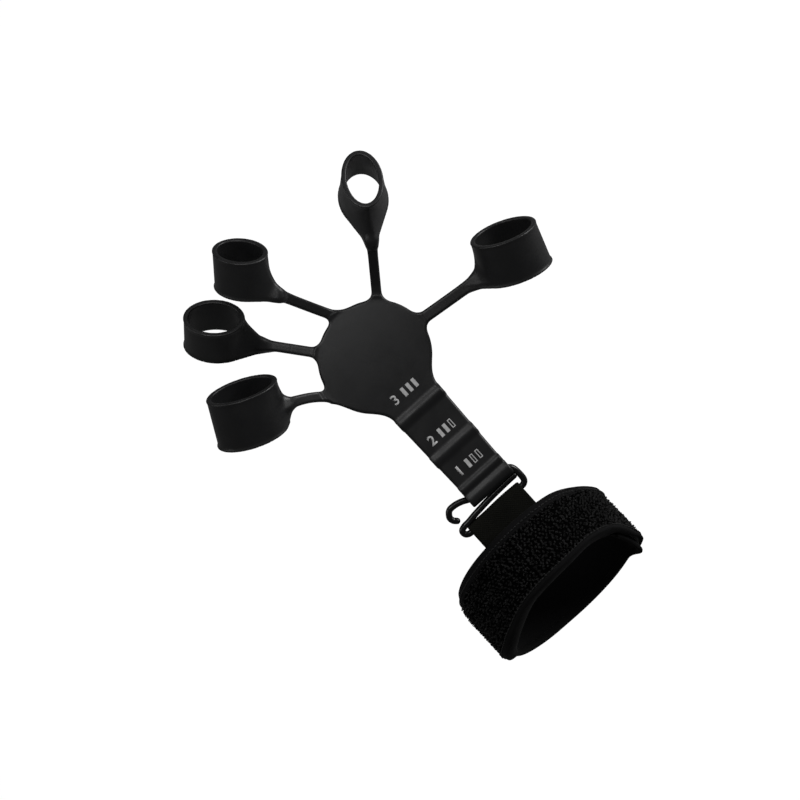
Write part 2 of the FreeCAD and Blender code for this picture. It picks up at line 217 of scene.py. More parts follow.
def settle(field, points, cell, probe=0.02, passes=3):
    """Move the points onto the surface by a few limited Newton steps."""
    for _ in range(passes):
        distance = field(points)
        slope = np.stack([field(points + step) - field(points - step)
                          for step in np.eye(3) * probe], 1) / (2 * probe)
        square = np.maximum((slope ** 2).sum(1), 0.25)
        move = -(distance / square)[:, None] * slope
        length = np.linalg.norm(move, axis=1)
        move *= (np.minimum(length, 0.4 * cell) / np.maximum(length, 1e-9))[:, None]
        points = points + move
    return points


def surface_net(field, low, high, cell):
    """Quad mesh of the field's zero surface between the corners low and high."""
    low = np.array(low, float)
    count = np.ceil((np.array(high, float) - low) / cell).astype(int) + 1
    values = sample_field(field, low, count, cell)
    solid = values < 0
    corners = [np.array(corner) for corner in np.ndindex(2, 2, 2)]
    filled = np.zeros(count - 1, np.int8)
    for corner in corners:
        filled += solid[tuple(slice(corner[i], count[i] - 1 + corner[i]) for i in range(3))]
    mixed = (filled > 0) & (filled < 8)
    number = -np.ones(mixed.shape, int)
    number[mixed] = np.arange(mixed.sum())
    points = low + cell * crossing_points(values, np.argwhere(mixed), corners)
    points = settle(field, points, cell)

    # one quad round every grid edge that crosses the surface
    quads = []
    for axis in range(3):
        side, other = [i for i in range(3) if i != axis]
        near, far = [slice(None)] * 3, [slice(None)] * 3
        near[axis], far[axis] = slice(0, -1), slice(1, None)
        starts, ends = solid[tuple(near)], solid[tuple(far)]
        edges = np.argwhere(starts != ends)
        kept = (edges[:, side] > 0) & (edges[:, side] < count[side] - 1)
        kept &= (edges[:, other] > 0) & (edges[:, other] < count[other] - 1)
        edges = edges[kept]
        inside = starts[tuple(edges.T)]
        around = []
        for back_side, back_other in ((1, 1), (0, 1), (0, 0), (1, 0)):
            place = edges.copy()
            place[:, side] -= back_side
            place[:, other] -= back_other
            around.append(number[tuple(place.T)])
        quad = np.stack(around, 1)
        keep_turn = inside if axis != 1 else ~inside
        quad[~keep_turn] = quad[~keep_turn][:, ::-1]
        quads.append(quad)
    return points, np.concatenate(quads).tolist()


# ----------------------------------------------------------------- materials
class Shader:
    """A node material: a Principled surface and the textures that feed it."""

    def __init__(self, name, textured=True):
        self.material = bpy.data.materials.new(name)
        self.material.use_nodes = True
        self.tree = self.material.node_tree
        self.tree.nodes.clear()
        self.output = self.add("OutputMaterial")
        self.surface = self.add("BsdfPrincipled")
        self.tree.links.new(self.surface.outputs[0], self.output.inputs[0])
        if textured:
            self.place = self.add("TexCoord").outputs["Object"]

    def add(self, kind, **inputs):
        """New node; inputs are named as on the node, with _ for a space."""
        node = self.tree.nodes.new("ShaderNode" + kind)
        self.feed(node, **inputs)
        return node

    def connect(self, socket, value):
        if isinstance(value, bpy.types.NodeSocket):
            self.tree.links.new(value, socket)
        else:
            socket.default_value = value

    def feed(self, node, **inputs):
        for label, value in inputs.items():
            self.connect(node.inputs[label.replace("_", " ")], value)

    def set(self, **inputs):
        self.feed(self.surface, **inputs)

    def noise(self, scale, detail=3.0, roughness=0.5, stretch=None):
        node = self.add("TexNoise", Scale=scale, Detail=detail, Roughness=roughness)
        place = self.place
        if stretch:
            place = self.add("Mapping", Scale=stretch, Vector=place).outputs[0]
        self.feed(node, Vector=place)
        return node.outputs["Fac"]

    def wave(self, scale, direction, distortion, detail):
        place = self.add("Mapping", Vector=self.place).outputs[0]
        node = self.add("TexWave", Scale=scale, Distortion=distortion, Detail=detail,
                        Vector=place)
        node.bands_direction = direction
        return node.outputs["Fac"]

    def math(self, operation, one, other):
        node = self.add("Math")
        node.operation = operation
        self.connect(node.inputs[0], one)
        self.connect(node.inputs[1], other)
        return node.outputs[0]

    def tint(self, factor, dark, light, dark_at=0.3, light_at=0.7):
        """Base colour that runs from dark to light with the factor."""
        node = self.add("ValToRGB")
        stops = ((dark_at, dark), (light_at, light))
        for element, (position, colour) in zip(node.color_ramp.elements, stops):
            element.position = position
            element.color = (*colour, 1)
        self.connect(node.inputs[0], factor)
        self.set(Base_Color=node.outputs[0])

    def vary_roughness(self, factor, smooth, rough):
        node = self.add("MapRange", From_Min=0.3, From_Max=0.7, To_Min=smooth, To_Max=rough,
                        Value=factor)
        self.set(Roughness=node.outputs[0])

    def bump(self, height, strength, distance, under=None):
        node = self.add("Bump", Strength=strength, Distance=distance, Height=height)
        if under is not None:
            self.feed(node, Normal=under)
        self.set(Normal=node.outputs[0])
        return node.outputs[0]


def silicone_material():
    shader = Shader("moulded_silicone")
    shader.tint(shader.noise(scale=45, detail=4), dark_at=0.25, light_at=0.75,
                dark=(0.0048, 0.0049, 0.0054), light=(0.0068, 0.0069, 0.0075))
    grain = shader.noise(scale=2600, roughness=0.6)
    waviness = shader.noise(scale=160)
    shader.vary_roughness(waviness, smooth=0.38, rough=0.48)
    shader.set(Specular_IOR_Level=0.5, Sheen_Weight=0.02, Sheen_Roughness=0.5)
    under = shader.bump(waviness, strength=0.10, distance=0.0004)
    shader.bump(grain, strength=0.22, distance=0.00006, under=under)
    return shader.material


def wire_material():
    shader = Shader("gloss_black_wire")
    shader.set(Base_Color=(0.0015, 0.0015, 0.0017, 1), Specular_IOR_Level=0.35,
               Coat_Weight=0.2, Coat_Roughness=0.08)
    shader.vary_roughness(shader.noise(scale=900), smooth=0.22, rough=0.36)
    shader.bump(shader.noise(scale=700, detail=2), strength=0.12, distance=0.00008)
    return shader.material


def webbing_material():
    shader = Shader("woven_webbing")
    shader.tint(shader.noise(scale=90),
                dark=(0.0024, 0.0025, 0.0014), light=(0.0052, 0.0053, 0.0034))
    shader.set(Roughness=0.8, Sheen_Weight=0.02, Specular_IOR_Level=0.12)
    fibres = shader.noise(scale=2800, roughness=0.6, stretch=(1, 0.25, 1))
    shader.bump(fibres, strength=0.45, distance=0.00015)
    return shader.material


def print_material():
    shader = Shader("printed_mark")
    shader.tint(shader.noise(scale=800), light_at=0.75,
                dark=(0.50, 0.50, 0.50), light=(0.66, 0.66, 0.66))
    shader.set(Roughness=0.6)
    shader.bump(shader.noise(scale=2500, detail=2), strength=0.2, distance=0.00005)
    return shader.material


def cloth_material(name, dark, light, scale, roughness, sheen, strength, specular=0.3):
    """Knit: two crossed waves and a fine fuzz raise the surface."""
    shader = Shader(name)
    shader.tint(shader.noise(scale=60, detail=4), dark, light)
    shader.set(Roughness=roughness, Sheen_Weight=sheen, Sheen_Roughness=0.4,
               Specular_IOR_Level=specular)
    rows = shader.wave(scale, direction="Y", distortion=1.2, detail=1)
    slant = shader.wave(scale, direction="DIAGONAL", distortion=1.5, detail=1)
    knit = shader.math("MULTIPLY", rows, slant)
    height = shader.math("ADD", knit, shader.noise(scale=3500, detail=2))
    shader.bump(height, strength, distance=0.00012)
    return shader.material


def pile_material(name, dark, light, roughness, sheen=0.2, specular=0.4):
    """Fuzzy or spongy surface with coarse speckles."""
    shader = Shader(name)
    shader.tint(shader.noise(scale=420), dark, light, dark_at=0.35, light_at=0.68)
    shader.set(Roughness=roughness, Sheen_Weight=sheen, Specular_IOR_Level=specular)
    shader.bump(shader.noise(scale=2200, roughness=0.7), strength=0.5, distance=0.0002)
    return shader.material


SILICONE = ("silicone", silicone_material())
WIRE = ("black_wire", wire_material())
WEBBING = ("webbing", webbing_material())
PRINT = ("silicone", print_material())
BINDING = ("edge_binding", cloth_material(
    "edge_binding_knit", dark=(0.0028, 0.0028, 0.0030), light=(0.0056, 0.0056, 0.0060),
    scale=620, roughness=0.8, sheen=0.02, strength=0.6, specular=0.13))
LINING = ("lining", cloth_material(
    "lining_knit", dark=(0.005, 0.005, 0.0055), light=(0.007, 0.007, 0.0074),
    scale=480, roughness=0.9, sheen=0.03, strength=0.5, specular=0.1))
FOAM = ("padding", pile_material(
    "foam_padding", dark=(0.012, 0.012, 0.012), light=(0.02, 0.02, 0.02), roughness=0.95))
# pile backing: near black, partly the black fabric's own colour and partly painted shade in the
# gaps between the standing loops
PILE_PAINTED_SHADE = ("loop_pile", pile_material(
    "pile_backing_painted_shade", dark=(0.0004, 0.0004, 0.0004), light=(0.0012, 0.0012, 0.0012),
    roughness=0.95, sheen=0.0, specular=0.04))
# pile loops: the same black yarn as the backing, given a lighter speckled colour as painted
# highlight on the standing loops
CURL_PAINTED_HIGHLIGHT = ("loop_pile", pile_material(
    "pile_loops_painted_highlight", dark=(0.0030, 0.0030, 0.0031), light=(0.0320, 0.0320, 0.0324),
    roughness=0.6, sheen=0.02, specular=0.16))
HOOK = ("hook_tape", pile_material(
    "hook_tape", dark=(0.008, 0.008, 0.008), light=(0.018, 0.018, 0.018), roughness=0.6))
THREAD = ("thread", cloth_material(
    "thread", dark=(0.008, 0.008, 0.0085), light=(0.016, 0.016, 0.0165),
    scale=1800, roughness=0.7, sheen=0.15, strength=0.3))

# ----------------------------------------------------------------- star frame
# The plate lies in the star frame's X-Y plane, with the hub centre at its origin.
HUB = np.array([2.5, 92.0, 58.0])
TILT = math.radians(24.0)
STAR_TURN = np.array([[1, 0, 0],
                      [0, math.cos(TILT), -math.sin(TILT)],
                      [0, math.sin(TILT), math.cos(TILT)]])
HUB_RADIUS = 22.7
HUB_SQUASH = 0.955          # hub length over its width
PLATE_HALF = 2.0            # half thickness at the rim
NECK_RADIUS = 2.3           # small end of a loop's teardrop outline
LOOP_WALL = 1.75
HUB_FLARE = 2.0             # how far beyond the rim the hub's own flare reaches
LAP = 0.7                   # how far the next piece tucks inside


def to_row(points):
    """Star-frame millimetres to row-frame millimetres."""
    return np.asarray(points) @ STAR_TURN.T + HUB


def lean(heading, rise):
    """Unit axis along a heading in the plate, leaning up by the given Z part."""
    heading = np.array(heading, float)
    heading /= np.linalg.norm(heading)
    return np.array([*(heading * math.sqrt(1 - rise * rise)), rise])


class Finger:
    """A finger loop and its arm, in the star frame.

    angle: knuckle place round the hub, degrees      centre, axis: of the loop
    pull: direction from the loop to its arm         height: of the loop along its axis
    top, rim: half widths at the top and lower rim   neck: added length towards the arm
    join: height of the arm's end above mid-loop     draw: sharpness of the drawn-out wall
    arm: half width and half thickness               bow: sideways bend of the arm
    skew: shift of the lower rim
    """

    def __init__(self, name, angle, centre, axis, pull, height, top, rim, neck, join,
                 draw, arm, bow=(0, 0, 0), skew=0.0):
        self.name, self.height, self.top, self.rim = name, height, top, rim
        self.neck, self.draw, self.arm, self.skew = neck, draw, arm, skew
        turn = math.radians(angle)
        self.knuckle = np.array([HUB_RADIUS * math.cos(turn), HUB_RADIUS * math.sin(turn), 0.0])
        self.centre = np.array(centre)
        self.axis = unit(axis)
        pull = np.array(pull, float)
        self.pull = unit(pull - (pull @ self.axis) * self.axis)
        self.across = np.cross(self.axis, self.pull)
        self.join_drop = 0.5 - join / height
        reach = top[0] + (rim[0] - top[0]) * self.join_drop + neck - NECK_RADIUS
        self.end = self.centre + self.pull * reach + self.axis * join

        flat = np.array([*(self.end - self.knuckle)[:2], 0.0])
        flat_length = np.linalg.norm(flat)
        self.heading = flat / flat_length
        self.side = np.cross([0, 0, 1.0], self.heading)
        bend = self.knuckle + (self.end - self.knuckle) * 0.42
        bend[2] = 0.10 * self.end[2]
        bend = bend + np.array(bow)
        share = np.linspace(0, 1, 19)[:, None]
        curve = ((1 - share) ** 2 * self.knuckle + 2 * share * (1 - share) * bend
                 + share ** 2 * self.end)
        self.path = np.concatenate([[self.knuckle - self.heading * 4.0], curve])

        # runs along the heading where the root piece starts and where the loop piece takes over
        slant = abs(self.heading @ np.cross([0, 0, 1.0], unit(self.knuckle)))
        self.start = HUB_FLARE + 0.2 + 3.0 * slant
        self.split = self.start + 0.42 * (flat_length - self.start)

    def run(self, points):
        """How far the points lie from the knuckle along the heading."""
        return (points - self.knuckle) @ self.heading

    def point_at(self, run):
        """Point of the arm's middle line at a run along the plate."""
        line = self.path[1:]
        rise = np.interp(run, self.run(line), line[:, 2])
        return self.knuckle + self.heading * run + np.array([0, 0, rise])


FINGERS = [
    Finger("thumb", angle=-3, centre=(65.2, -4.9, 11.9), axis=lean((0.3178, 0.8801), 0.42),
           pull=(-0.9226, 0.3728, -0.0988), height=17.6, top=(13.0, 11.6), rim=(13.9, 12.0),
           neck=5.0, join=-6.6, draw=3.0, arm=(2.35, 2.05)),
    Finger("index", angle=46, centre=(39.2, 50.1, 16.7), axis=lean((0.3696, 0.4105), 0.94),
           pull=(-0.505, -0.82, 0.25), height=17.0, top=(11.9, 7.7), rim=(12.0, 9.4),
           neck=9.0, join=-6.4, draw=1.5, arm=(1.95, 1.65)),
    Finger("middle", angle=93, centre=(-15.5, 57.8, 19.3), axis=lean((0.486, 0.5846), 0.58),
           pull=(0.4292, -0.8072, 0.4052), height=16.6, top=(11.0, 8.9), rim=(11.7, 9.0),
           neck=7.0, join=-6.4, draw=1.7, arm=(2.0, 1.75)),
    Finger("ring", angle=134, centre=(-39.2, 48.5, 3.3), axis=lean((0.3152, 0.3501), 0.78),
           pull=(0.6813, -0.7306, 0.0465), height=16.2, top=(11.7, 9.2), rim=(12.8, 9.3),
           neck=8.0, join=-5.8, draw=1.25, arm=(2.0, 1.8)),
    Finger("pinky", angle=182, centre=(-49.8, 16.2, 13.3), axis=lean((0.3693, 0.7835), 0.42),
           pull=(0.976, -0.218, 0.0), height=19.8, top=(13.9, 10.4), rim=(14.0, 11.6),
           neck=3.4, join=-2.0, draw=2.6, arm=(2.0, 1.8), bow=(1.2, 1.9, 0), skew=1.3),
]


# ----------------------------------------------------------------- star shapes
# rods across the stem: Y, Z, radius, fillet width, half length
STEM_RODS = (
    (-26.4, 0.3, 2.6, 1.15, 11.0),
    (-46.0, 0.3, 2.58, 1.15, 10.6),
    (-61.2, 1.1, 1.75, 0.9, 10.25),
    (-66.3, 0.0, 3.0, 1.2, 10.55),
)
# holes along X through the rods: Y, Z, widening at the mouths
STEM_HOLES = ((-26.4, 0.6, 0.0), (-46.0, 0.6, 0.0), (-66.0, 0.0, 1.35))
HOLE_RADIUS = 1.1


def arm_distance(finger, points):
    """Flattened rod along the arm's path, taken from the nearest path segment."""
    nearest = np.full(len(points), 1e9)
    distance = np.full(len(points), 1e9)
    segments = len(finger.path) - 1
    width, thickness = finger.arm
    for i in range(segments):
        start = finger.path[i]
        step = finger.path[i + 1] - start
        share = np.clip(((points - start) @ step) / (step @ step), 0, 1)
        offset = points - (start + share[:, None] * step)
        square = (offset ** 2).sum(1)
        along = (i + share) / segments
        sideways = offset @ finger.side
        upright = np.sqrt(np.maximum(square - sideways ** 2, 0))
        half_width = (width + 0.5 * np.clip((0.22 - along) / 0.22, 0, 1) ** 2
                      + 0.35 * np.clip((along - 0.75) / 0.25, 0, 1) ** 2)
        half_thick = thickness + (PLATE_HALF - thickness) * np.clip((0.34 - along) / 0.3, 0, 1)
        here = rounded(np.abs(sideways) - half_width, upright - half_thick, 0.95)
        closer = square < nearest
        distance[closer] = here[closer]
        nearest[closer] = square[closer]
    return distance


def loop_distance(finger, points):
    """Teardrop ring merged with its arm, with the finger opening cut through."""
    offset = points - finger.centre
    x, y, z = offset @ finger.pull, offset @ finger.across, offset @ finger.axis
    drop = np.clip(0.5 - z / finger.height, 0, 1)
    half_x = finger.top[0] + (finger.rim[0] - finger.top[0]) * drop
    half_y = finger.top[1] + (finger.rim[1] - finger.top[1]) * drop
    lip = (0.28 + 0.27 * (z < 0)) * np.exp(-((finger.height / 2 - np.abs(z)) / 0.9) ** 2)
    x = x + finger.skew * drop

    # the wall is drawn out towards the arm, more and more going down to the join;
    # below a join well above the rim it draws back in
    join = finger.join_drop
    drawn = np.clip(drop / join, 0, 1) ** finger.draw
    if join < 0.8:
        drawn = drawn * (1 - 0.9 * np.clip((drop - join) / max(1 - join, 0.05), 0, 1) ** 1.6)

    # outline: a large and a small circle joined by their tangents
    radius = half_x + lip
    length = radius - NECK_RADIUS + finger.neck * drawn + 0.05
    width = np.abs(y) * half_x / half_y
    sine = (radius - NECK_RADIUS) / length
    cosine = np.sqrt(np.maximum(1 - sine * sine, 0))
    along = -sine * width + cosine * x
    outline = np.where(
        along < 0, np.hypot(width, x) - radius,
        np.where(along > cosine * length, np.hypot(width, x - length) - NECK_RADIUS,
                 cosine * width + sine * x - radius))
    body = rounded(outline, np.abs(z) - finger.height / 2, 0.55)
    body = smooth_min(body, arm_distance(finger, points), 2.8)

    inner_x, inner_y = half_x - LOOP_WALL, half_y - LOOP_WALL
    level = np.hypot(x / inner_x, y / inner_y)
    slope = np.maximum(np.hypot(x / inner_x ** 2, y / inner_y ** 2), 1e-6)
    opening = (level - 1) * level / slope
    return smooth_max(body, -opening, 0.5)


def disc_distance(points):
    """Distance in the plate's plane from the hub's rim."""
    return np.hypot(points[:, 0], points[:, 1] / HUB_SQUASH) - HUB_RADIUS


def hub_distance(points, arms=()):
    """Hub disc, stem and the given arms, with rods and holes across the stem."""
    x, y, z = points.T
    disc = disc_distance(points)
    stem_half = 10.15 + 1.0 * np.clip((y + 66) / 42, 0, 1)
    stem = rounded(np.abs(x) - stem_half, np.abs(y + 38.2) - 28.2, 1.2)
    flat = smooth_min(disc, stem, 5.5)
    half = PLATE_HALF + 0.3 * np.clip(1 - (np.hypot(x, y) / 21) ** 2, 0, 1)
    body = rounded(flat, np.abs(z) - half, 1.05)
    for finger in arms:
        body = smooth_min(body, arm_distance(finger, points), 3.4)
    if arms:
        # keeps the arm fillets from standing up above the plate
        lid = (half + 1.3 * np.clip((disc - 0.1) / 4.0, 0, 1) ** 1.1
               + 4.0 * np.maximum(disc - 3.2, 0))
        body = np.maximum(body, np.abs(z) - lid)
    for rod_y, rod_z, radius, fillet, half_length in STEM_RODS:
        rod = rounded(np.hypot(y - rod_y, z - rod_z) - radius, np.abs(x) - half_length, 0.7)
        body = smooth_min(body, rod, fillet)
    for hole_y, hole_z, widening in STEM_HOLES:
        mouth = HOLE_RADIUS + widening * np.clip((np.abs(x) - 8.7) / 1.9, 0, 1) ** 1.4
        body = smooth_max(body, mouth - np.hypot(y - hole_y, z - hole_z), 0.25)
    return body


# ----------------------------------------------------------------- star pieces
def thinning(beyond):
    """Skin taken off where one piece tucks into the next: 0.3 mm, reached over 0.5 mm."""
    return 0.3 * np.clip(beyond / 0.5, 0, 1)


def build_hub():
    def field(points):
        body = hub_distance(points, FINGERS)
        beyond = disc_distance(points) - HUB_FLARE
        trimmed = np.maximum(body + thinning(beyond), beyond - 0.5)
        return np.where(points[:, 1] > -12.5, trimmed, body)

    points, faces = surface_net(field, (-27.2, -71.5, -4.6), (27.2, 27.2, 5.6), SKIN_CELL)
    hub = make("hub_and_stem_skin", to_row(points), faces, SILICONE, recalc=False)
    ride(hub, "star_hub", "hub_and_stem")


def build_arm_root(finger):
    split = finger.split

    def field(points):
        run = finger.run(points)
        rim = disc_distance(points)
        body = hub_distance(points, [finger])
        body = body + thinning(HUB_FLARE - 0.05 - rim) + thinning(run - split + 0.1)
        sideways = np.abs((points - finger.knuckle) @ finger.side)
        return np.maximum.reduce([body, sideways - 8.5, (HUB_FLARE - LAP) - rim,
                                  run - split - 0.45])

    extent = [finger.knuckle + finger.heading * run + finger.side * sign * sideways
              for run, sideways in ((0.5, 6.5), (split, 4)) for sign in (-1, 1)]
    extent += [point for point in finger.path if finger.run(point) < split + 2]
    extent = np.array(extent)
    points, faces = surface_net(field, extent.min(0) - 2.6, extent.max(0) + 2.6, ROOT_CELL)
    root = make("arm_%s_root" % finger.name, to_row(points), faces, SILICONE, recalc=False)
    to_row(finger.point_at(finger.start)) * MM
    to_row(finger.point_at(split - LAP - 0.3)) * MM
    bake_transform(root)
    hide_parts("arm_" + finger.name)


def build_loop(finger):
    split = finger.split

    def field(points):
        run = finger.run(points)
        body = loop_distance(finger, points) + thinning(split - 0.15 - run)
        # nothing of the loop is wanted well behind the split
        return np.where(run > split - 4, np.maximum(body, (split - LAP) - run),
                        np.maximum(body, 0.5))

    extent = [finger.point_at(split - LAP), finger.end, finger.end + finger.pull * 3]
    for sign, (half_x, half_y) in ((-1, finger.rim), (1, finger.top)):
        for turn in np.linspace(0, 2 * np.pi, 24, endpoint=False):
            extent.append(finger.centre + finger.axis * sign * finger.height / 2
                          + finger.pull * (half_x + 1) * math.cos(turn)
                          + finger.across * (half_y + 1) * math.sin(turn))
    extent = np.array(extent)
    points, faces = surface_net(field, extent.min(0) - 2.8, extent.max(0) + 2.8, SKIN_CELL)
    loop = make("loop_%s_skin" % finger.name, to_row(points), faces, SILICONE, recalc=False)

    # stretch from just past the split towards the arm's end, ending short of the ring; it is
    # worked out but not used
    start = finger.point_at(split + 0.15)
    along = unit(finger.end - start)
    ring = points[np.linalg.norm(points - finger.centre, axis=1) < finger.rim[0] + 3.0]
    stretch = min((finger.end - start) @ along, ((ring - start) @ along).min() - 0.2)
    stretch = max(stretch, 2.5)
    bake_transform(loop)
    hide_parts("loop_" + finger.name)


build_hub()
for finger in FINGERS:
    build_arm_root(finger)
    build_loop(finger)

# ----------------------------------------------------------------- level marks
# level, Y in the star frame, thickening of the numeral, its shift towards +X
LEVEL_MARKS = ((3, -17.6, 0.12, 0.0), (2, -38.8, 0.12, 0.0), (1, -54.6, 0.2, 0.9))
NUMERAL_SIZE = 5.6
NUMERAL_LEFT = 6.6          # numeral's edge, on the -X side of the middle
BAR_START = -1.4
BAR_PITCH = 2.75
BAR_WIDTH = 1.45
BAR_HALF_HEIGHT = 1.9
BAR_LINE = 0.36             # outline of an unfilled bar
MARK_ABOVE = 0.07           # height of the mark's top above the plate
MARK_BELOW = 0.15           # depth of its underside


def plate_top(x, y):
    """Height of the plate's upper face, found by walking down onto it."""
    height = np.full(len(x), 4.5)
    for _ in range(60):
        distance = hub_distance(np.stack([x, y, height], 1))
        height -= np.clip(distance, -0.2, 0.2) * 0.9
    return height


def numeral_mesh(level, thickening):
    curve = bpy.data.curves.new("level_%d" % level, "FONT")
    curve.body = str(level)
    curve.size = NUMERAL_SIZE
    curve.align_x = "LEFT"
    curve.resolution_u = 6
    curve.offset = thickening
    text = bpy.data.objects.new("level_tmp_%d" % level, curve)
    bpy.context.scene.collection.objects.link(text)
    bpy.context.view_layer.update()
    mesh = bpy.data.meshes.new_from_object(text)
    bpy.data.objects.remove(text)
    return mesh


def bar_ring(work, left, inset):
    """Four vertices of a bar's rectangle, drawn in by the inset."""
    low, high = -BAR_HALF_HEIGHT + inset, BAR_HALF_HEIGHT - inset
    near, far = left + inset, left + BAR_WIDTH - inset
    ring = ((near, low), (far, low), (far, high), (near, high))
    return [work.verts.new((x, y, 0)) for x, y in ring]


def build_mark(level, place, thickening, shift):
    """Numeral and three bars, as many filled as the level, laid on the plate."""
    work = bmesh.new()
    work.from_mesh(numeral_mesh(level, thickening))
    ys = [vert.co.y for vert in work.verts]
    left = min(vert.co.x for vert in work.verts) - shift
    middle = (min(ys) + max(ys)) / 2
    for vert in work.verts:
        vert.co.x = (vert.co.x - left) - NUMERAL_LEFT
        vert.co.y = vert.co.y - middle
    for i in range(3):
        bar_left = BAR_START + i * BAR_PITCH
        outer = bar_ring(work, bar_left, 0)
        if i < level:
            work.faces.new(outer)
        else:
            inner = bar_ring(work, bar_left, BAR_LINE)
            for k in range(4):
                after = (k + 1) % 4
                work.faces.new([outer[k], outer[after], inner[after], inner[k]])

    # cut finely enough to follow the plate, then give it thickness
    bmesh.ops.triangulate(work, faces=work.faces)
    long_edges = [edge for edge in work.edges if edge.calc_length() > 1.2]
    bmesh.ops.subdivide_edges(work, edges=long_edges, cuts=1)
    bmesh.ops.triangulate(work, faces=work.faces)
    raised = bmesh.ops.extrude_face_region(work, geom=list(work.faces))["geom"]
    tops = {item for item in raised if isinstance(item, bmesh.types.BMVert)}
    spots = np.array([vert.co[:] for vert in work.verts])
    heights = plate_top(spots[:, 0], spots[:, 1] + place)
    for vert, height in zip(work.verts, heights):
        height += MARK_ABOVE if vert in tops else -MARK_BELOW
        spot = np.array([vert.co.x, vert.co.y + place, height])
        vert.co = Vector(to_row(spot) * MM)
    bmesh.ops.recalc_face_normals(work, faces=work.faces)

    mesh = bpy.data.meshes.new("level_mark_%d" % level)
    work.to_mesh(mesh)
    work.free()
    mark = bpy.data.objects.new("level_mark_%d" % level, mesh)
    bpy.context.scene.collection.objects.link(mark)
    paint(mark, PRINT)
    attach(mark, "star_hub")


for level_mark in LEVEL_MARKS:
    build_mark(*level_mark)

# ----------------------------------------------------------------- bent wire
WIRE_RADIUS = 1.3
WIRE_START = np.array([2.5, 31.706, 31.155])    # middle of the wire's upper bar
WIRE_DOWN = unit([0, -0.806, -0.592])           # from the upper bar to the lower bar
WIRE_OUT = np.cross(WIRE_DOWN, [1.0, 0, 0])     # square to the wire's plane, upwards
# bends in the wire's own plane: X from the middle, distance down
WIRE_BENDS = (
    # open end and upper bar
    (-18.9, 2.7), (-20.0, 1.4), (-20.1, -0.5), (-18.3, -2.55), (-15.2, -2.6), (-12.3, -1.75),
    (-10.3, -0.75), (-8.4, -0.1), (-4, 0.0), (3, 0.0), (7.4, 0.0),
    # turn on the +X side
    (9.0, 0.15), (10.4, 0.95), (11.15, 2.5), (11.4, 4.5), (11.45, 6.5), (11.15, 8.4),
    # lower bar
    (10.0, 9.42), (8.2, 9.56), (0, 9.56), (-8, 9.56), (-15.5, 9.6), (-18.3, 9.9),
    # turn on the -X side and the run back between the bars
    (-20.0, 8.9), (-20.0, 7.1), (-18.2, 6.3), (-15.6, 6.1), (-11.5, 5.5), (-4.0, 4.8),
    (3.0, 4.45), (7.6, 4.35), (9.3, 4.35),
)


def spline(points, steps_per_mm):
    """Catmull-Rom curve through the points."""
    points = np.asarray(points, float)
    points = np.concatenate([[2 * points[0] - points[1]], points, [2 * points[-1] - points[-2]]])
    curve = []
    for i in range(1, len(points) - 2):
        before, start, end, after = points[i - 1:i + 3]
        steps = max(2, int(np.linalg.norm(end - start) * steps_per_mm))
        share = np.linspace(0, 1, steps, endpoint=False)[:, None]
        curve.append(0.5 * ((2 * start) + (end - before) * share
                            + (2 * before - 5 * start + 4 * end - after) * share ** 2
                            + (3 * start - before - 3 * end + after) * share ** 3))
    curve.append(points[-2][None])
    return np.concatenate(curve)


def build_wire():
    """Round wire with rounded ends."""
    path = spline([WIRE_START + np.array([x, 0, 0]) + WIRE_DOWN * down
                   for x, down in WIRE_BENDS], WIRE_STEPS_PER_MM)
    tangent = np.gradient(path, axis=0)
    tangent /= np.linalg.norm(tangent, axis=1, keepdims=True)
    normal = np.tile(WIRE_OUT, (len(path), 1))
    normal -= (normal * tangent).sum(1, keepdims=True) * tangent
    normal /= np.linalg.norm(normal, axis=1, keepdims=True)
    across = np.cross(tangent, normal)

    # rings: path point, angle towards the tip of a rounded end
    last = len(path) - 1
    rings = [(0, -angle) for angle in (80, 60, 40, 20)]
    rings += [(i, 0) for i in range(len(path))]
    rings += [(last, angle) for angle in (20, 40, 60, 80)]
    points = []
    for i, angle in rings:
        along = math.sin(math.radians(angle)) * WIRE_RADIUS
        radius = math.cos(math.radians(angle)) * WIRE_RADIUS
        for j in range(WIRE_SIDES):
            turn = 2 * math.pi * j / WIRE_SIDES
            outwards = normal[i] * math.cos(turn) + across[i] * math.sin(turn)
            points.append(path[i] + tangent[i] * along + outwards * radius)
    wire = make("wire_hook_skin", points, ring_faces(len(rings), WIRE_SIDES), WIRE)
    ride(wire, "wire_hook", "wire_hook")


build_wire()

# ----------------------------------------------------------------- wristband shape
# Angles are in degrees round Y, from +X (0) over +Z (90).  Heights are above the skin side.
BAND_HALF_X = 30.0
BAND_HALF_Z = 20.5
BAND_HALF_WIDTH = 16.0

FRONT_START, FRONT_END = 40.0, 186.5        # front panel, over the +Z and -X sides
STRAP_START, STRAP_END = 186.42, 392.0      # back strap, round the -Z side
STRAP_TRIM_END = 329.0                      # where its full edge tapes stop
TAIL_START, TAIL_END = -25.0, FRONT_START - 0.03    # closing tail, on the +X side

FACE_TOP = 4.7              # face of the front panel and tail under their edge tape
STITCH_LINES = (12.75, -13.5)
SWELL_PEAK = 0.72           # where the band swells most, as a share of its width

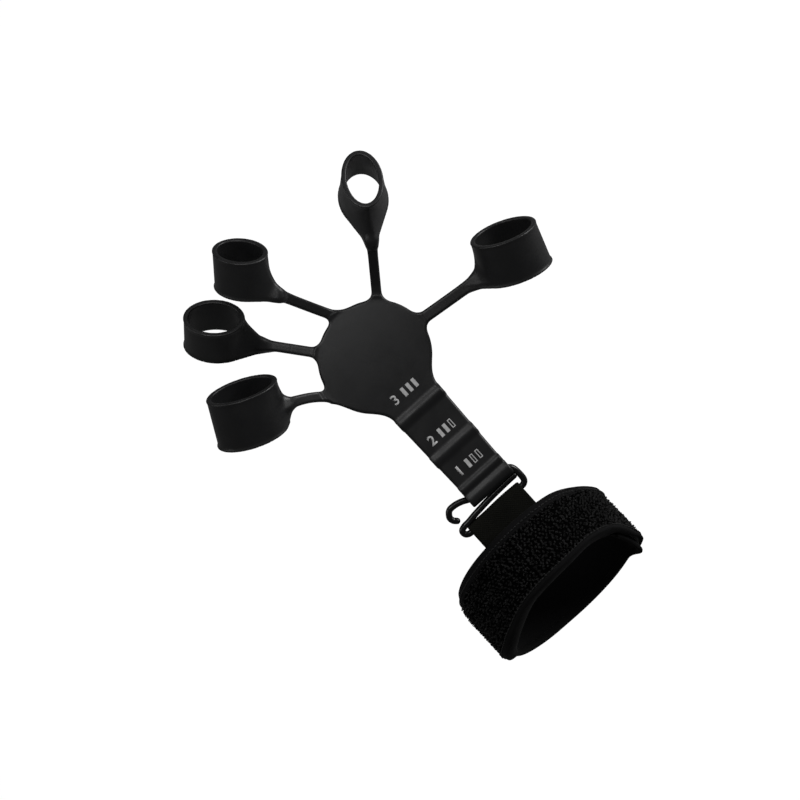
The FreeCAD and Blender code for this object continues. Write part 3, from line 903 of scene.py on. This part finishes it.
# The worn shape.  Columns: angle, shift along Y of the +Y edge and of the -Y edge,
# outward shift of the +Y edge and of the -Y edge, outward swell in between.
WORN_SHAPE = np.array([
    (-30, -5.8, 0.4, -1.6, -2.8, 0), (-26, -5.8, -0.2, -1.6, -2.4, 0),
    (0, -5.8, -0.9, -1.6, -1.5, 0), (20, -5.0, 3.6, -1.6, -2.7, 0),
    (40, -2.2, 6.0, -1.7, -0.8, 0), (60, -0.3, 6.4, -0.3, 0, 0),
    (80, 0, 4.6, 0, 0, 0), (100, 0, 4.3, 0, 0, 0),
    (120, 0, 4.0, 0, 0, 0), (140, 0, 1.6, 0, 0, 0.8),
    (160, 0, -0.8, 0, 0.8, 2.6), (180, 0, -1, -0.4, 1.6, 4.4),
    (200, 0, -1, -0.4, 1.6, 4.8), (230, 0, -0.5, 0, 0.8, 2.4),
    (250, 0, 0, 0, 0, 0.6), (330, -5.8, 0.4, -1.6, -2.8, 0),
]).T


def eased(angle, column):
    """Smoothed periodic lookup of a worn-shape column."""
    total = 0
    for shift, weight in ((-10, 0.1), (-5, 0.2), (0, 0.4), (5, 0.2), (10, 0.1)):
        turned = np.mod(angle + shift + 30.0, 360.0) - 30.0
        total = total + weight * np.interp(turned, WORN_SHAPE[0], column)
    return total


def band(angle, y, height):
    """Point on the band from its angle, place across the width and height."""
    angle, y, height = np.broadcast_arrays(*[np.asarray(value, float)
                                             for value in (angle, y, height)])
    share = np.clip((y + BAND_HALF_WIDTH) / (2 * BAND_HALF_WIDTH), -0.1, 1.1)
    high_y, low_y, high_out, low_out, swell = [eased(angle, column)
                                               for column in WORN_SHAPE[1:]]
    swell = np.where(
        share < SWELL_PEAK,
        swell * np.clip(0.62 + 0.38 * (share / SWELL_PEAK), 0, 1)
        * np.clip((share + 0.12) / 0.22, 0, 1),
        swell * np.clip(1 - np.abs((share - SWELL_PEAK) / 0.34) ** 2.0, 0, 1))
    out = height + low_out * (1 - share) + high_out * share + swell
    turn = np.radians(angle)
    x, z = (BAND_HALF_X + out) * np.cos(turn), (BAND_HALF_Z + out) * np.sin(turn)
    return np.stack([x, y + low_y * (1 - share) + high_y * share, z], -1)


def band_normal(angle):
    turn = np.radians(angle)
    normal = np.stack([np.cos(turn) / BAND_HALF_X, np.zeros_like(turn),
                       np.sin(turn) / BAND_HALF_Z], -1)
    return normal / np.linalg.norm(normal, axis=-1, keepdims=True)


def wobble(angle, y, amount, seed):
    """Smooth soft-goods unevenness."""
    random = np.random.default_rng(seed)
    total = np.zeros(np.broadcast(angle, y).shape)
    for _ in range(6):
        per_angle, per_y, phase = (random.uniform(0.02, 0.16), random.uniform(-0.25, 0.25),
                                   random.uniform(0, 6.28))
        total = total + np.sin(per_angle * angle + per_y * y + phase)
    return amount * total / 6


def face_height(angle, y):
    """Pile backing of the front panel and tail, the same on both sides of their joint."""
    edge = 1 - np.clip(np.abs(y) / BAND_HALF_WIDTH, 0, 1) ** 4
    over_tab = np.exp(-((angle - 93) / 26.0) ** 4) * np.clip((y + 12) / 8, 0, 1) * 0.25
    # towards the tail the pile rises over the +Y margin
    edge = edge + 0.5 * np.clip((58 - angle) / 14, 0, 1) * np.clip((y - 11) / 3, 0, 1)
    return 4.25 + 0.4 * edge + over_tab + wobble(angle, y, 0.35, 11)


def edge_fall(y):
    """How far the pile comes down close to the +Y edge."""
    return 0.3 * np.clip(y - 13.5, 0, 2)


# ----------------------------------------------------------------- wristband parts
def slab(name, start, end, half, inner, outer, steps, finish, edge=0.0):
    """Closed curved layer, 2 * half wide.  inner and outer are heights, either numbers
    or functions of angle and y; edge is the width over which the sides round off."""
    angle, y = np.meshgrid(np.linspace(start, end, steps),
                           np.linspace(-half, half, WIDTH_STEPS), indexing="ij")
    outer, inner = [height(angle, y) if callable(height) else height
                    for height in (outer, inner)]
    if edge:
        margin = np.minimum(y + half, half - y)
        fall = np.clip(1 - margin / edge, 0, 1) ** 2 * 0.5 * (outer - inner)
        outer, inner = outer - fall, inner + fall
    points = np.concatenate([band(angle, y, height).reshape(-1, 3) for height in (outer, inner)])
    return make(name, points, shell_faces(steps, WIDTH_STEPS), finish)


def sweep(name, profile_at, angles):
    """Tape swept round the band; profile_at(angle) gives its closed (y, height) profile."""
    profiles = [profile_at(angle) for angle in angles]
    points = np.concatenate([band(angle, profile[:, 0], profile[:, 1])
                             for angle, profile in zip(angles, profiles)])
    return make(name, points, ring_faces(len(angles), len(profiles[0])), BINDING)


def tape_profile(side, inner, outer, lip_out, lip_in=3.2, thick=0.55):
    """Tape folded round an edge: side 1 is the +Y edge, -1 the -Y edge."""
    edge = BAND_HALF_WIDTH
    middle, half = (outer + inner) / 2, (outer - inner) / 2
    # from the lip on the face
    points = [(edge - lip_out, outer + 0.02), (edge - lip_out + 0.12, outer + thick * 0.75),
              (edge - lip_out + 0.7, outer + thick), (edge - 1.6, outer + thick)]
    # round the edge
    for turn in np.radians(np.linspace(80, -80, 9)):
        points.append((edge - 0.9 + 1.15 * math.cos(turn),
                       middle + (half + thick) * math.sin(turn)))
    # to the lip on the skin side, and back inside the fold
    points += [(edge - 1.6, inner - thick * 0.7), (edge - lip_in + 0.5, inner - thick * 0.7),
               (edge - lip_in, inner - 0.02), (edge - 1.2, inner + 0.15),
               (edge - 0.5, middle), (edge - 1.2, outer - 0.15)]
    return np.array(points) * (side, 1)


def rippled(profile, angle, side):
    """Profile shifted a little, the same on both sides of the front-to-tail joint."""
    return profile + 0.5 * wobble(angle, float(side), 0.35, 31 + side)


def low_edge(profile):
    """1 at the -Y edge of a profile, falling to 0 further in."""
    return np.clip((-profile[:, 0] - 12) / 3, 0, 1)


PILE_RADIUS = 26.5          # radius that turns pile spacing into degrees
TUFT_PITCH = 1.32
TUFT_SPREAD = 0.23
ARCH_STEPS = 5
ARCH_SIDES = 4


def curls(name, start, end, low, high, height_at, seed):
    """Brushed pile: small standing thread arches scattered over the layer."""
    random = np.random.default_rng(seed)
    # tufts on a loose staggered grid, each of a few crossing arches
    mm_per_degree = PILE_RADIUS * math.pi / 180
    columns = max(2, int(abs(end - start) * mm_per_degree / TUFT_PITCH))
    rows = max(1, int((high - low) / (TUFT_PITCH * 0.92)))
    angle, y = np.meshgrid(np.linspace(start, end, columns), np.linspace(low, high, rows),
                           indexing="ij")
    angle_step, y_step = TUFT_PITCH / mm_per_degree, (high - low) / max(rows - 1, 1)
    angle = angle + (np.arange(rows)[None, :] % 2) * 0.5 * angle_step
    angle = (angle + random.uniform(-0.27, 0.27, angle.shape) * angle_step).ravel()
    y = (y + random.uniform(-0.27, 0.27, y.shape) * y_step).ravel()
    keep = random.uniform(0, 1, len(angle)) > 0.05
    angle, y = angle[keep], y[keep]
    count = len(angle) * ARCHES_PER_TUFT
    tall = np.repeat(random.uniform(0.75, 1.15, len(angle)), ARCHES_PER_TUFT)
    angle = (np.repeat(angle, ARCHES_PER_TUFT)
             + random.uniform(-TUFT_SPREAD, TUFT_SPREAD, count) / mm_per_degree)
    y = np.repeat(y, ARCHES_PER_TUFT) + random.uniform(-TUFT_SPREAD, TUFT_SPREAD, count)
    y = np.clip(y, low, high)
    angle = np.clip(angle, start, end)

    # each arch stands on its foot line, leaning to one side of it
    base = band(angle, y, height_at(angle, y))
    normal = band_normal(angle)
    along_y = np.tile([0.0, 1.0, 0.0], (count, 1))
    around = np.cross(along_y, normal)
    heading = random.uniform(0, 2 * np.pi, count)
    foot = np.cos(heading)[:, None] * around + np.sin(heading)[:, None] * along_y
    tilt = random.uniform(-0.6, 0.6, count)
    side = np.cross(normal, foot)
    up = np.cos(tilt)[:, None] * normal + np.sin(tilt)[:, None] * side
    half_span = random.uniform(0.20, 0.36, count)
    height = random.uniform(0.75, 1.25, count) * tall
    thread_radius = random.uniform(0.11, 0.17, count)
    points = np.empty((count, ARCH_STEPS + 1, ARCH_SIDES, 3))
    for i in range(ARCH_STEPS + 1):
        turn = -0.35 + (math.pi + 0.7) * i / ARCH_STEPS
        centre = (base - normal * 0.12 + foot * (half_span * math.cos(turn))[:, None]
                  + up * (height * (0.25 + math.sin(turn)) * 0.8)[:, None])
        tangent = (-foot * (half_span * math.sin(turn))[:, None]
                   + up * (height * math.cos(turn) * 0.8)[:, None])
        tangent /= np.linalg.norm(tangent, axis=1, keepdims=True)
        across = np.cross(tangent, side)
        across /= np.linalg.norm(across, axis=1, keepdims=True)
        for j in range(ARCH_SIDES):
            spin = 2 * math.pi * j / ARCH_SIDES
            outwards = across * math.cos(spin) + side * math.sin(spin)
            points[:, i, j] = centre + outwards * thread_radius[:, None]
    arch = np.array(ring_faces(ARCH_STEPS + 1, ARCH_SIDES))
    first = np.arange(count)[:, None, None] * (ARCH_STEPS + 1) * ARCH_SIDES
    faces = (first + arch[None]).reshape(-1, 4).tolist()
    return make(name, points.reshape(-1, 3), faces, CURL_PAINTED_HIGHLIGHT, recalc=False)


def stitches(name, start, end, height):
    """Short thread arches along both seam lines; pitch and length are in degrees."""
    pitch, length = 2.9, 2.2
    steps, sides = 6, 6
    points, faces = [], []
    for y in STITCH_LINES:
        angle = start
        while angle + length < end:
            faces += ring_faces(steps + 1, sides, first=len(points))
            for i in range(steps + 1):
                share = i / steps
                dip = -0.42 * (abs(2 * share - 1) ** 4)
                centre = band(angle + length * share, y, height + dip + 0.05)
                normal = band_normal(angle + length * share)
                for j in range(sides):
                    turn = 2 * math.pi * j / sides
                    points.append(centre + normal * 0.2 * math.cos(turn)
                                  + np.array([0, 0.24 * math.sin(turn), 0]))
            angle += pitch
    return make(name, np.array(points), faces, THREAD)


def blend_strap(piece, *nodes):
    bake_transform(piece)
    if nodes:
        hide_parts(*nodes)


def blend_tail(piece, *nodes):
    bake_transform(piece)
    if nodes:
        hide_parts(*nodes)


# ----------------------------------------------------------------- wristband sections
def build_front():
    start, end = FRONT_START, FRONT_END
    ride(slab("front_padding", start + 0.3, end - 0.3, 15.4, 0.8, 2.6, BAND_STEPS, FOAM),
         "wristband", "front_core")
    ride(slab("front_lining_cloth", start, end, 15.6,
              lambda angle, y: wobble(angle, y, 0.15, 5), 0.85, BAND_STEPS, LINING),
         "wristband", "front_lining")
    ride(slab("front_pile_backing", start, end, 15.4, 2.75, face_height, BAND_STEPS, PILE_PAINTED_SHADE,
              edge=1.2),
         "wristband", "front_loop_face")

    def pile_height(angle, y):
        return face_height(angle, y) - 0.1

    ride(curls("front_pile_thumb_side", start - 0.2, 100.0, -13.7, 10.7, pile_height, seed=21),
         "wristband")
    ride(curls("front_pile_little_side", 102.75, end - 1.4, -13.7, 10.7, pile_height, seed=25),
         "wristband")
    ride(curls("front_pile_margin", start - 0.6, 56, 11.6, 15.2,
               lambda angle, y: 4.75 - edge_fall(y), seed=24),
         "wristband")
    angles = np.linspace(start - 0.02, end + 0.1, BAND_STEPS)
    for side, edge, lip in ((1, "top", 5.2), (-1, "lower", 2.8)):
        profile = tape_profile(side, 0.0, FACE_TOP, lip)
        tape = sweep("front_%s_binding_tape" % edge,
                     lambda angle: rippled(profile, angle, side), angles)
        ride(tape, "wristband", "front_%s_binding" % edge)
    ride(stitches("front_seam_thread", start + 2, end - 2, 5.45),
         "wristband", "binding_stitches")


def build_strap():
    start, end = STRAP_START, STRAP_END

    def uneven(angle, y):
        return wobble(angle, y, 0.18, 61)

    blend_strap(slab("back_strap_lining", start, end, 15.6, 0.05, 0.95, BAND_STEPS, LINING),
                "back_lining")
    blend_strap(slab("back_strap_face", start, end, 15.5, 0.9,
                     lambda angle, y: 1.75 + uneven(angle, y), BAND_STEPS, PILE_PAINTED_SHADE, edge=0.8),
                "back_loop_face")
    blend_strap(curls("back_pile", start + 1, 326, -13.4, 13.4,
                      lambda angle, y: 1.6 + uneven(angle, y), seed=22))
    angles = np.linspace(start + 0.2, STRAP_TRIM_END, BAND_STEPS)
    for side, edge in ((1, "top"), (-1, "lower")):
        profile = tape_profile(side, 0.1, 2.1, lip_out=3.2, lip_in=3.0, thick=0.45)
        tape = sweep("back_%s_binding_tape" % edge, lambda angle: profile, angles)
        blend_strap(tape, "back_%s_binding" % edge)

    # the strap's own -Y edge, drooping out from under the tail
    def drooping(angle):
        droop = math.exp(-((angle - 352.0) / 13.0) ** 2)
        profile = tape_profile(-1, 0.1, 1.5, lip_out=2.8, lip_in=2.6, thick=0.3)
        profile[:, 0] -= 3.6 * droop * low_edge(profile)
        profile[:, 1] += 0.5 * droop
        return profile

    blend_strap(sweep("strap_end_lower_binding_tape", drooping,
                      np.linspace(STRAP_TRIM_END - 0.5, 386, BAND_STEPS // 2)))


def tail_growth(angle):
    """0 on the free tail, rising to 1 where it meets the front panel's full depth."""
    return np.clip((angle - 26) / 13.0, 0, 1)


def tail_tape_profile(angle, side, lip):
    """Edge tape of the tail, thinner and lifted near the free end of the -Y edge."""
    inner = 2.75 - 2.75 * tail_growth(angle) ** 2
    thin = float(np.clip((17 - angle) / 9.0, 0, 1)) if side < 0 else 0.0
    profile = tape_profile(side, inner + 0.75 * thin, FACE_TOP - 0.35 * thin, lip,
                           thick=0.55 - 0.25 * thin)
    lift = thin * math.exp(-((angle - 6.0) / 9.0) ** 2) * low_edge(profile)
    profile[:, 0] -= 1.2 * lift
    profile[:, 1] += 0.9 * lift
    return rippled(profile, angle, side)


def build_tail_end():
    """Folded tape across the free end of the tail."""
    fold = [(TAIL_START + 1.7 * math.cos(turn), 4.0 + 1.2 * math.sin(turn))
            for turn in np.radians(np.linspace(80, 280, 11))]
    # angle, height
    profile = [(-20.5, 5.0), (-22.5, 5.2), *fold,
               (-21, 2.5), (-20.5, 2.75), (-23.5, 3.4), (-23.5, 4.9)]
    points = [band(angle + 0.25 * math.sin(y * 0.35), y, height)
              for y in np.linspace(-15.9, 15.9, END_STEPS) for angle, height in profile]
    faces = ring_faces(END_STEPS, len(profile))
    # this profile runs the other way round, so its caps are turned over
    for cap in faces[-2:]:
        cap.reverse()
    return make("tail_end_binding_tape", np.array(points), faces, BINDING)


def build_tail():
    start, end = TAIL_START, TAIL_END
    blend_tail(slab("tail_padding", start, end, 15.4,
                    lambda angle, y: 3.1 - 2.3 * tail_growth(angle) ** 2,
                    lambda angle, y: 3.9 - 1.2 * tail_growth(angle) ** 2, TAIL_STEPS, FOAM),
               "tail_core")
    ride(slab("tail_hook_tape", start + 0.5, 29.5, 15.2, 2.55, 3.15, TAIL_STEPS, HOOK),
         "closing_tail", "tail_hook_patch")
    blend_tail(slab("tail_pile_backing", start, end, 15.4,
                    lambda angle, y: 3.85 - 1.1 * tail_growth(angle) ** 2, face_height,
                    TAIL_STEPS, PILE_PAINTED_SHADE, edge=1.0),
               "tail_loop_face")
    blend_tail(curls("tail_pile", start + 3, end - 2.6, -13.7, 15.4,
                     lambda angle, y: face_height(angle, y) - 0.1 - edge_fall(y), seed=23))
    angles = np.linspace(start - 0.4, end, TAIL_STEPS)
    for side, edge, lip in ((1, "top", 3.8), (-1, "lower", 2.8)):
        tape = sweep("tail_%s_binding_tape" % edge,
                     lambda angle: tail_tape_profile(angle, side, lip), angles)
        blend_tail(tape, "tail_%s_binding" % edge)
    ride(build_tail_end(), "closing_tail", "tail_end_binding")
    ride(stitches("tail_seam_thread", start + 4, end - 2, 5.5),
         "closing_tail", "tail_stitches")


build_front()
build_strap()
build_tail()

# ----------------------------------------------------------------- webbing tab
TAB_X = (-15.2, 11.2)
TAB_THICKNESS = 1.1
TAB_BAR_Y, TAB_BAR_Z = 24.0, 25.5       # centre of the fold, round the wire's lower bar
TAB_FOLD = 1.36 + TAB_THICKNESS / 2     # fold radius at mid thickness
TAB_LIFT = 3.3                          # height above the band's skin side
WEAVE_PITCH = 1.05


def bezier(controls, steps):
    """Points of a cubic curve, without its first."""
    start, leave, arrive, end = np.array(controls)
    return [(1 - share) ** 3 * start + 3 * share * (1 - share) ** 2 * leave
            + 3 * share * share * (1 - share) * arrive + share ** 3 * end
            for share in np.linspace(0, 1, steps)[1:]]


def tab_path():
    """Middle line of the tab as (y, z), evenly spaced and slightly smoothed."""
    # upper leaf: from under the pile face, up over the band edge, to the bar
    path = [(y, 23.9) for y in np.linspace(2, 14.5, 8)]
    path += bezier([(14.5, 23.9), (17.5, 24.1), (20.5, 26.4),
                    (TAB_BAR_Y, TAB_BAR_Z + TAB_FOLD)], 12)
    for turn in np.radians(np.linspace(90, -90, 15)[1:]):
        path.append((TAB_BAR_Y + TAB_FOLD * math.cos(turn),
                     TAB_BAR_Z + TAB_FOLD * math.sin(turn)))
    # lower leaf: back to the band
    under = TAB_BAR_Z - TAB_FOLD
    path += bezier([(TAB_BAR_Y, under), (20.5, under), (18.5, 22.9), (15.0, 22.75)], 9)
    path = np.array(path)
    length = np.r_[0, np.cumsum(np.linalg.norm(np.diff(path, axis=0), axis=1))]
    run = np.linspace(0, length[-1], TAB_LENGTH_STEPS)
    even = np.stack([np.interp(run, length, path[:, i]) for i in range(2)], 1)
    for _ in range(2):
        even[1:-1] = (even[:-2] + 2 * even[1:-1] + even[2:]) / 4
    return run, even


def build_tab():
    run, path = tab_path()
    tangent = np.gradient(path, axis=0)
    tangent /= np.linalg.norm(tangent, axis=1, keepdims=True)
    normal = np.stack([-tangent[:, 1], tangent[:, 0]], 1)
    run, x = np.meshgrid(run, np.linspace(*TAB_X, TAB_WIDTH_STEPS), indexing="ij")
    weave = (0.13 * np.sin(2 * np.pi * x / WEAVE_PITCH) * np.sin(2 * np.pi * run / WEAVE_PITCH)
             + 0.03 * np.cos(2 * np.pi * x / WEAVE_PITCH * 2))
    margin = np.minimum(x - TAB_X[0], TAB_X[1] - x)
    edge = np.clip(1 - margin / 0.9, 0, 1) ** 2
    half = (TAB_THICKNESS / 2) * (1 - 0.55 * edge)

    # where it lies on the band the tape follows the band's curve
    on_band = (np.clip((17.5 - path[:, 0]) / 4.5, 0, 1) * (np.abs(tangent[:, 0]) > 0.2))[:, None]
    crown = BAND_HALF_Z + TAB_LIFT
    oval = np.sqrt(np.clip(1 - (x / (BAND_HALF_X + TAB_LIFT)) ** 2, 0, 1))
    curve = on_band * (crown * oval - crown)
    ripple = 0.12 * np.sin(x * 0.31 + 0.8) * (1 - on_band)
    sheets = []
    for sign in (1, -1):
        offset = sign * (half + weave * sign * (1 - edge)) + ripple
        y = path[:, :1] + normal[:, :1] * offset
        z = path[:, 1:] + normal[:, 1:] * offset + curve
        sheets.append(np.stack([x, y, z], -1).reshape(-1, 3))
    tab = make("webbing_tab_tape", np.concatenate(sheets),
               shell_faces(TAB_LENGTH_STEPS, TAB_WIDTH_STEPS), WEBBING)
    ride(tab, "wristband", "webbing_tab")


build_tab()

# ----------------------------------------------------------------- stage, in metres
FLOOR_DROP = 0.105          # below the lowest point of the product
FLOOR_HALF = 3.0
SCENE_CENTRE = (0.01, 0.06, 0.04)
STAR_CENTRE = (0.0085, 0.1117, 0.0668)

# camera, in millimetres: view axes are right, up and towards the viewer
VIEW_DISTANCE = 750.0
VIEW_WIDTH = 310.4                              # width of the picture at the hub
HUB_IN_VIEW = np.array([-9.7, 16.684, 0.0])     # from the picture's middle
VIEW_PITCH = math.radians(24.0)
VIEW_TURN = math.radians(42.0)
SENSOR_WIDTH = 36.0


def camera_switch(tree, unseen, seen, output):
    """Show one shader to the camera and another to all other rays."""
    rays = tree.nodes.new("ShaderNodeLightPath")
    mix = tree.nodes.new("ShaderNodeMixShader")
    tree.links.new(rays.outputs["Is Camera Ray"], mix.inputs[0])
    tree.links.new(unseen.outputs[0], mix.inputs[1])
    tree.links.new(seen.outputs[0], mix.inputs[2])
    tree.links.new(mix.outputs[0], output.inputs[0])


def floor_material():
    """Pale matt floor that glows for the camera only."""
    shader = Shader("pale_floor", textured=False)
    shader.set(Base_Color=(0.35, 0.35, 0.35, 1), Roughness=0.9, Specular_IOR_Level=0.1)
    glow = shader.add("Emission", Color=(1, 1, 1, 1), Strength=0.88)
    both = shader.add("AddShader")
    shader.connect(both.inputs[0], shader.surface.outputs[0])
    shader.connect(both.inputs[1], glow.outputs[0])
    camera_switch(shader.tree, shader.surface, both, shader.output)
    return shader.material


def build_floor():
    z = cad_box[0][2] - FLOOR_DROP
    mesh = bpy.data.meshes.new("floor")
    corners = [(x * FLOOR_HALF, y * FLOOR_HALF, z)
               for x, y in ((-1, -1), (1, -1), (1, 1), (-1, 1))]
    mesh.from_pydata(corners, [], [(0, 1, 2, 3)])
    floor = bpy.data.objects.new("floor", mesh)
    bpy.context.scene.collection.objects.link(floor)
    floor.data.materials.append(floor_material())


def build_world():
    """White to the camera, dim for lighting."""
    world = bpy.data.worlds.new("studio")
    world.use_nodes = True
    tree = world.node_tree
    seen = tree.nodes["Background"]
    dim = tree.nodes.new("ShaderNodeBackground")
    for node, strength in ((seen, 1.0), (dim, 0.095)):
        node.inputs["Color"].default_value = (1, 1, 1, 1)
        node.inputs["Strength"].default_value = strength
    camera_switch(tree, dim, seen, tree.nodes["World Output"])
    bpy.context.scene.world = world


def area_light(name, location, target, size, power):
    light = bpy.data.lights.new(name, "AREA")
    light.shape = "SQUARE"
    light.size = size
    light.energy = power
    lamp = bpy.data.objects.new(name, light)
    lamp.location = location
    aim = Vector(target) - Vector(location)
    lamp.rotation_euler = aim.to_track_quat("-Z", "Y").to_euler()
    lamp.visible_camera = False
    bpy.context.scene.collection.objects.link(lamp)


def build_lights():
    # large lights round the product: name, location, power in watts
    for name, location, power in (("right_edge", (1.089, -0.048, 0.422), 7.6),
                                  ("top_edge", (0.733, 0.634, 0.726), 0.5),
                                  ("left_edge", (-0.793, 0.561, 0.693), 1.5)):
        area_light(name, location, SCENE_CENTRE, size=0.5, power=power)
    # small lights close above the star
    for name, location, power in (("near_left", (-0.0317, 0.1125, 0.286), 0.091),
                                  ("near_top", (0.0546, 0.0908, 0.2764), 0.040)):
        area_light(name, location, STAR_CENTRE, size=0.08, power=power)


def build_camera():
    # the row frame's axes as the camera sees them
    row_x = np.array([math.cos(VIEW_TURN), math.sin(VIEW_TURN), 0])
    row_y = np.array([-math.sin(VIEW_TURN) * math.cos(VIEW_PITCH),
                      math.cos(VIEW_TURN) * math.cos(VIEW_PITCH), -math.sin(VIEW_PITCH)])
    view_to_row = np.stack([row_x, row_y, np.cross(row_x, row_y)])
    origin_in_view = HUB_IN_VIEW - view_to_row.T @ HUB
    location = view_to_row @ (np.array([0, 0, VIEW_DISTANCE]) - origin_in_view) * MM
    matrix = Matrix(view_to_row.tolist()).to_4x4()
    matrix.translation = Vector(location.tolist())

    lens = bpy.data.cameras.new("camera")
    lens.sensor_width = SENSOR_WIDTH
    lens.lens = SENSOR_WIDTH * VIEW_DISTANCE / VIEW_WIDTH
    lens.clip_start = 0.01
    camera = bpy.data.objects.new("camera", lens)
    camera.matrix_world = matrix
    bpy.context.scene.collection.objects.link(camera)
    bpy.context.scene.camera = camera
    bpy.context.scene.view_settings.view_transform = "Standard"


build_floor()
build_world()
build_lights()
build_camera()
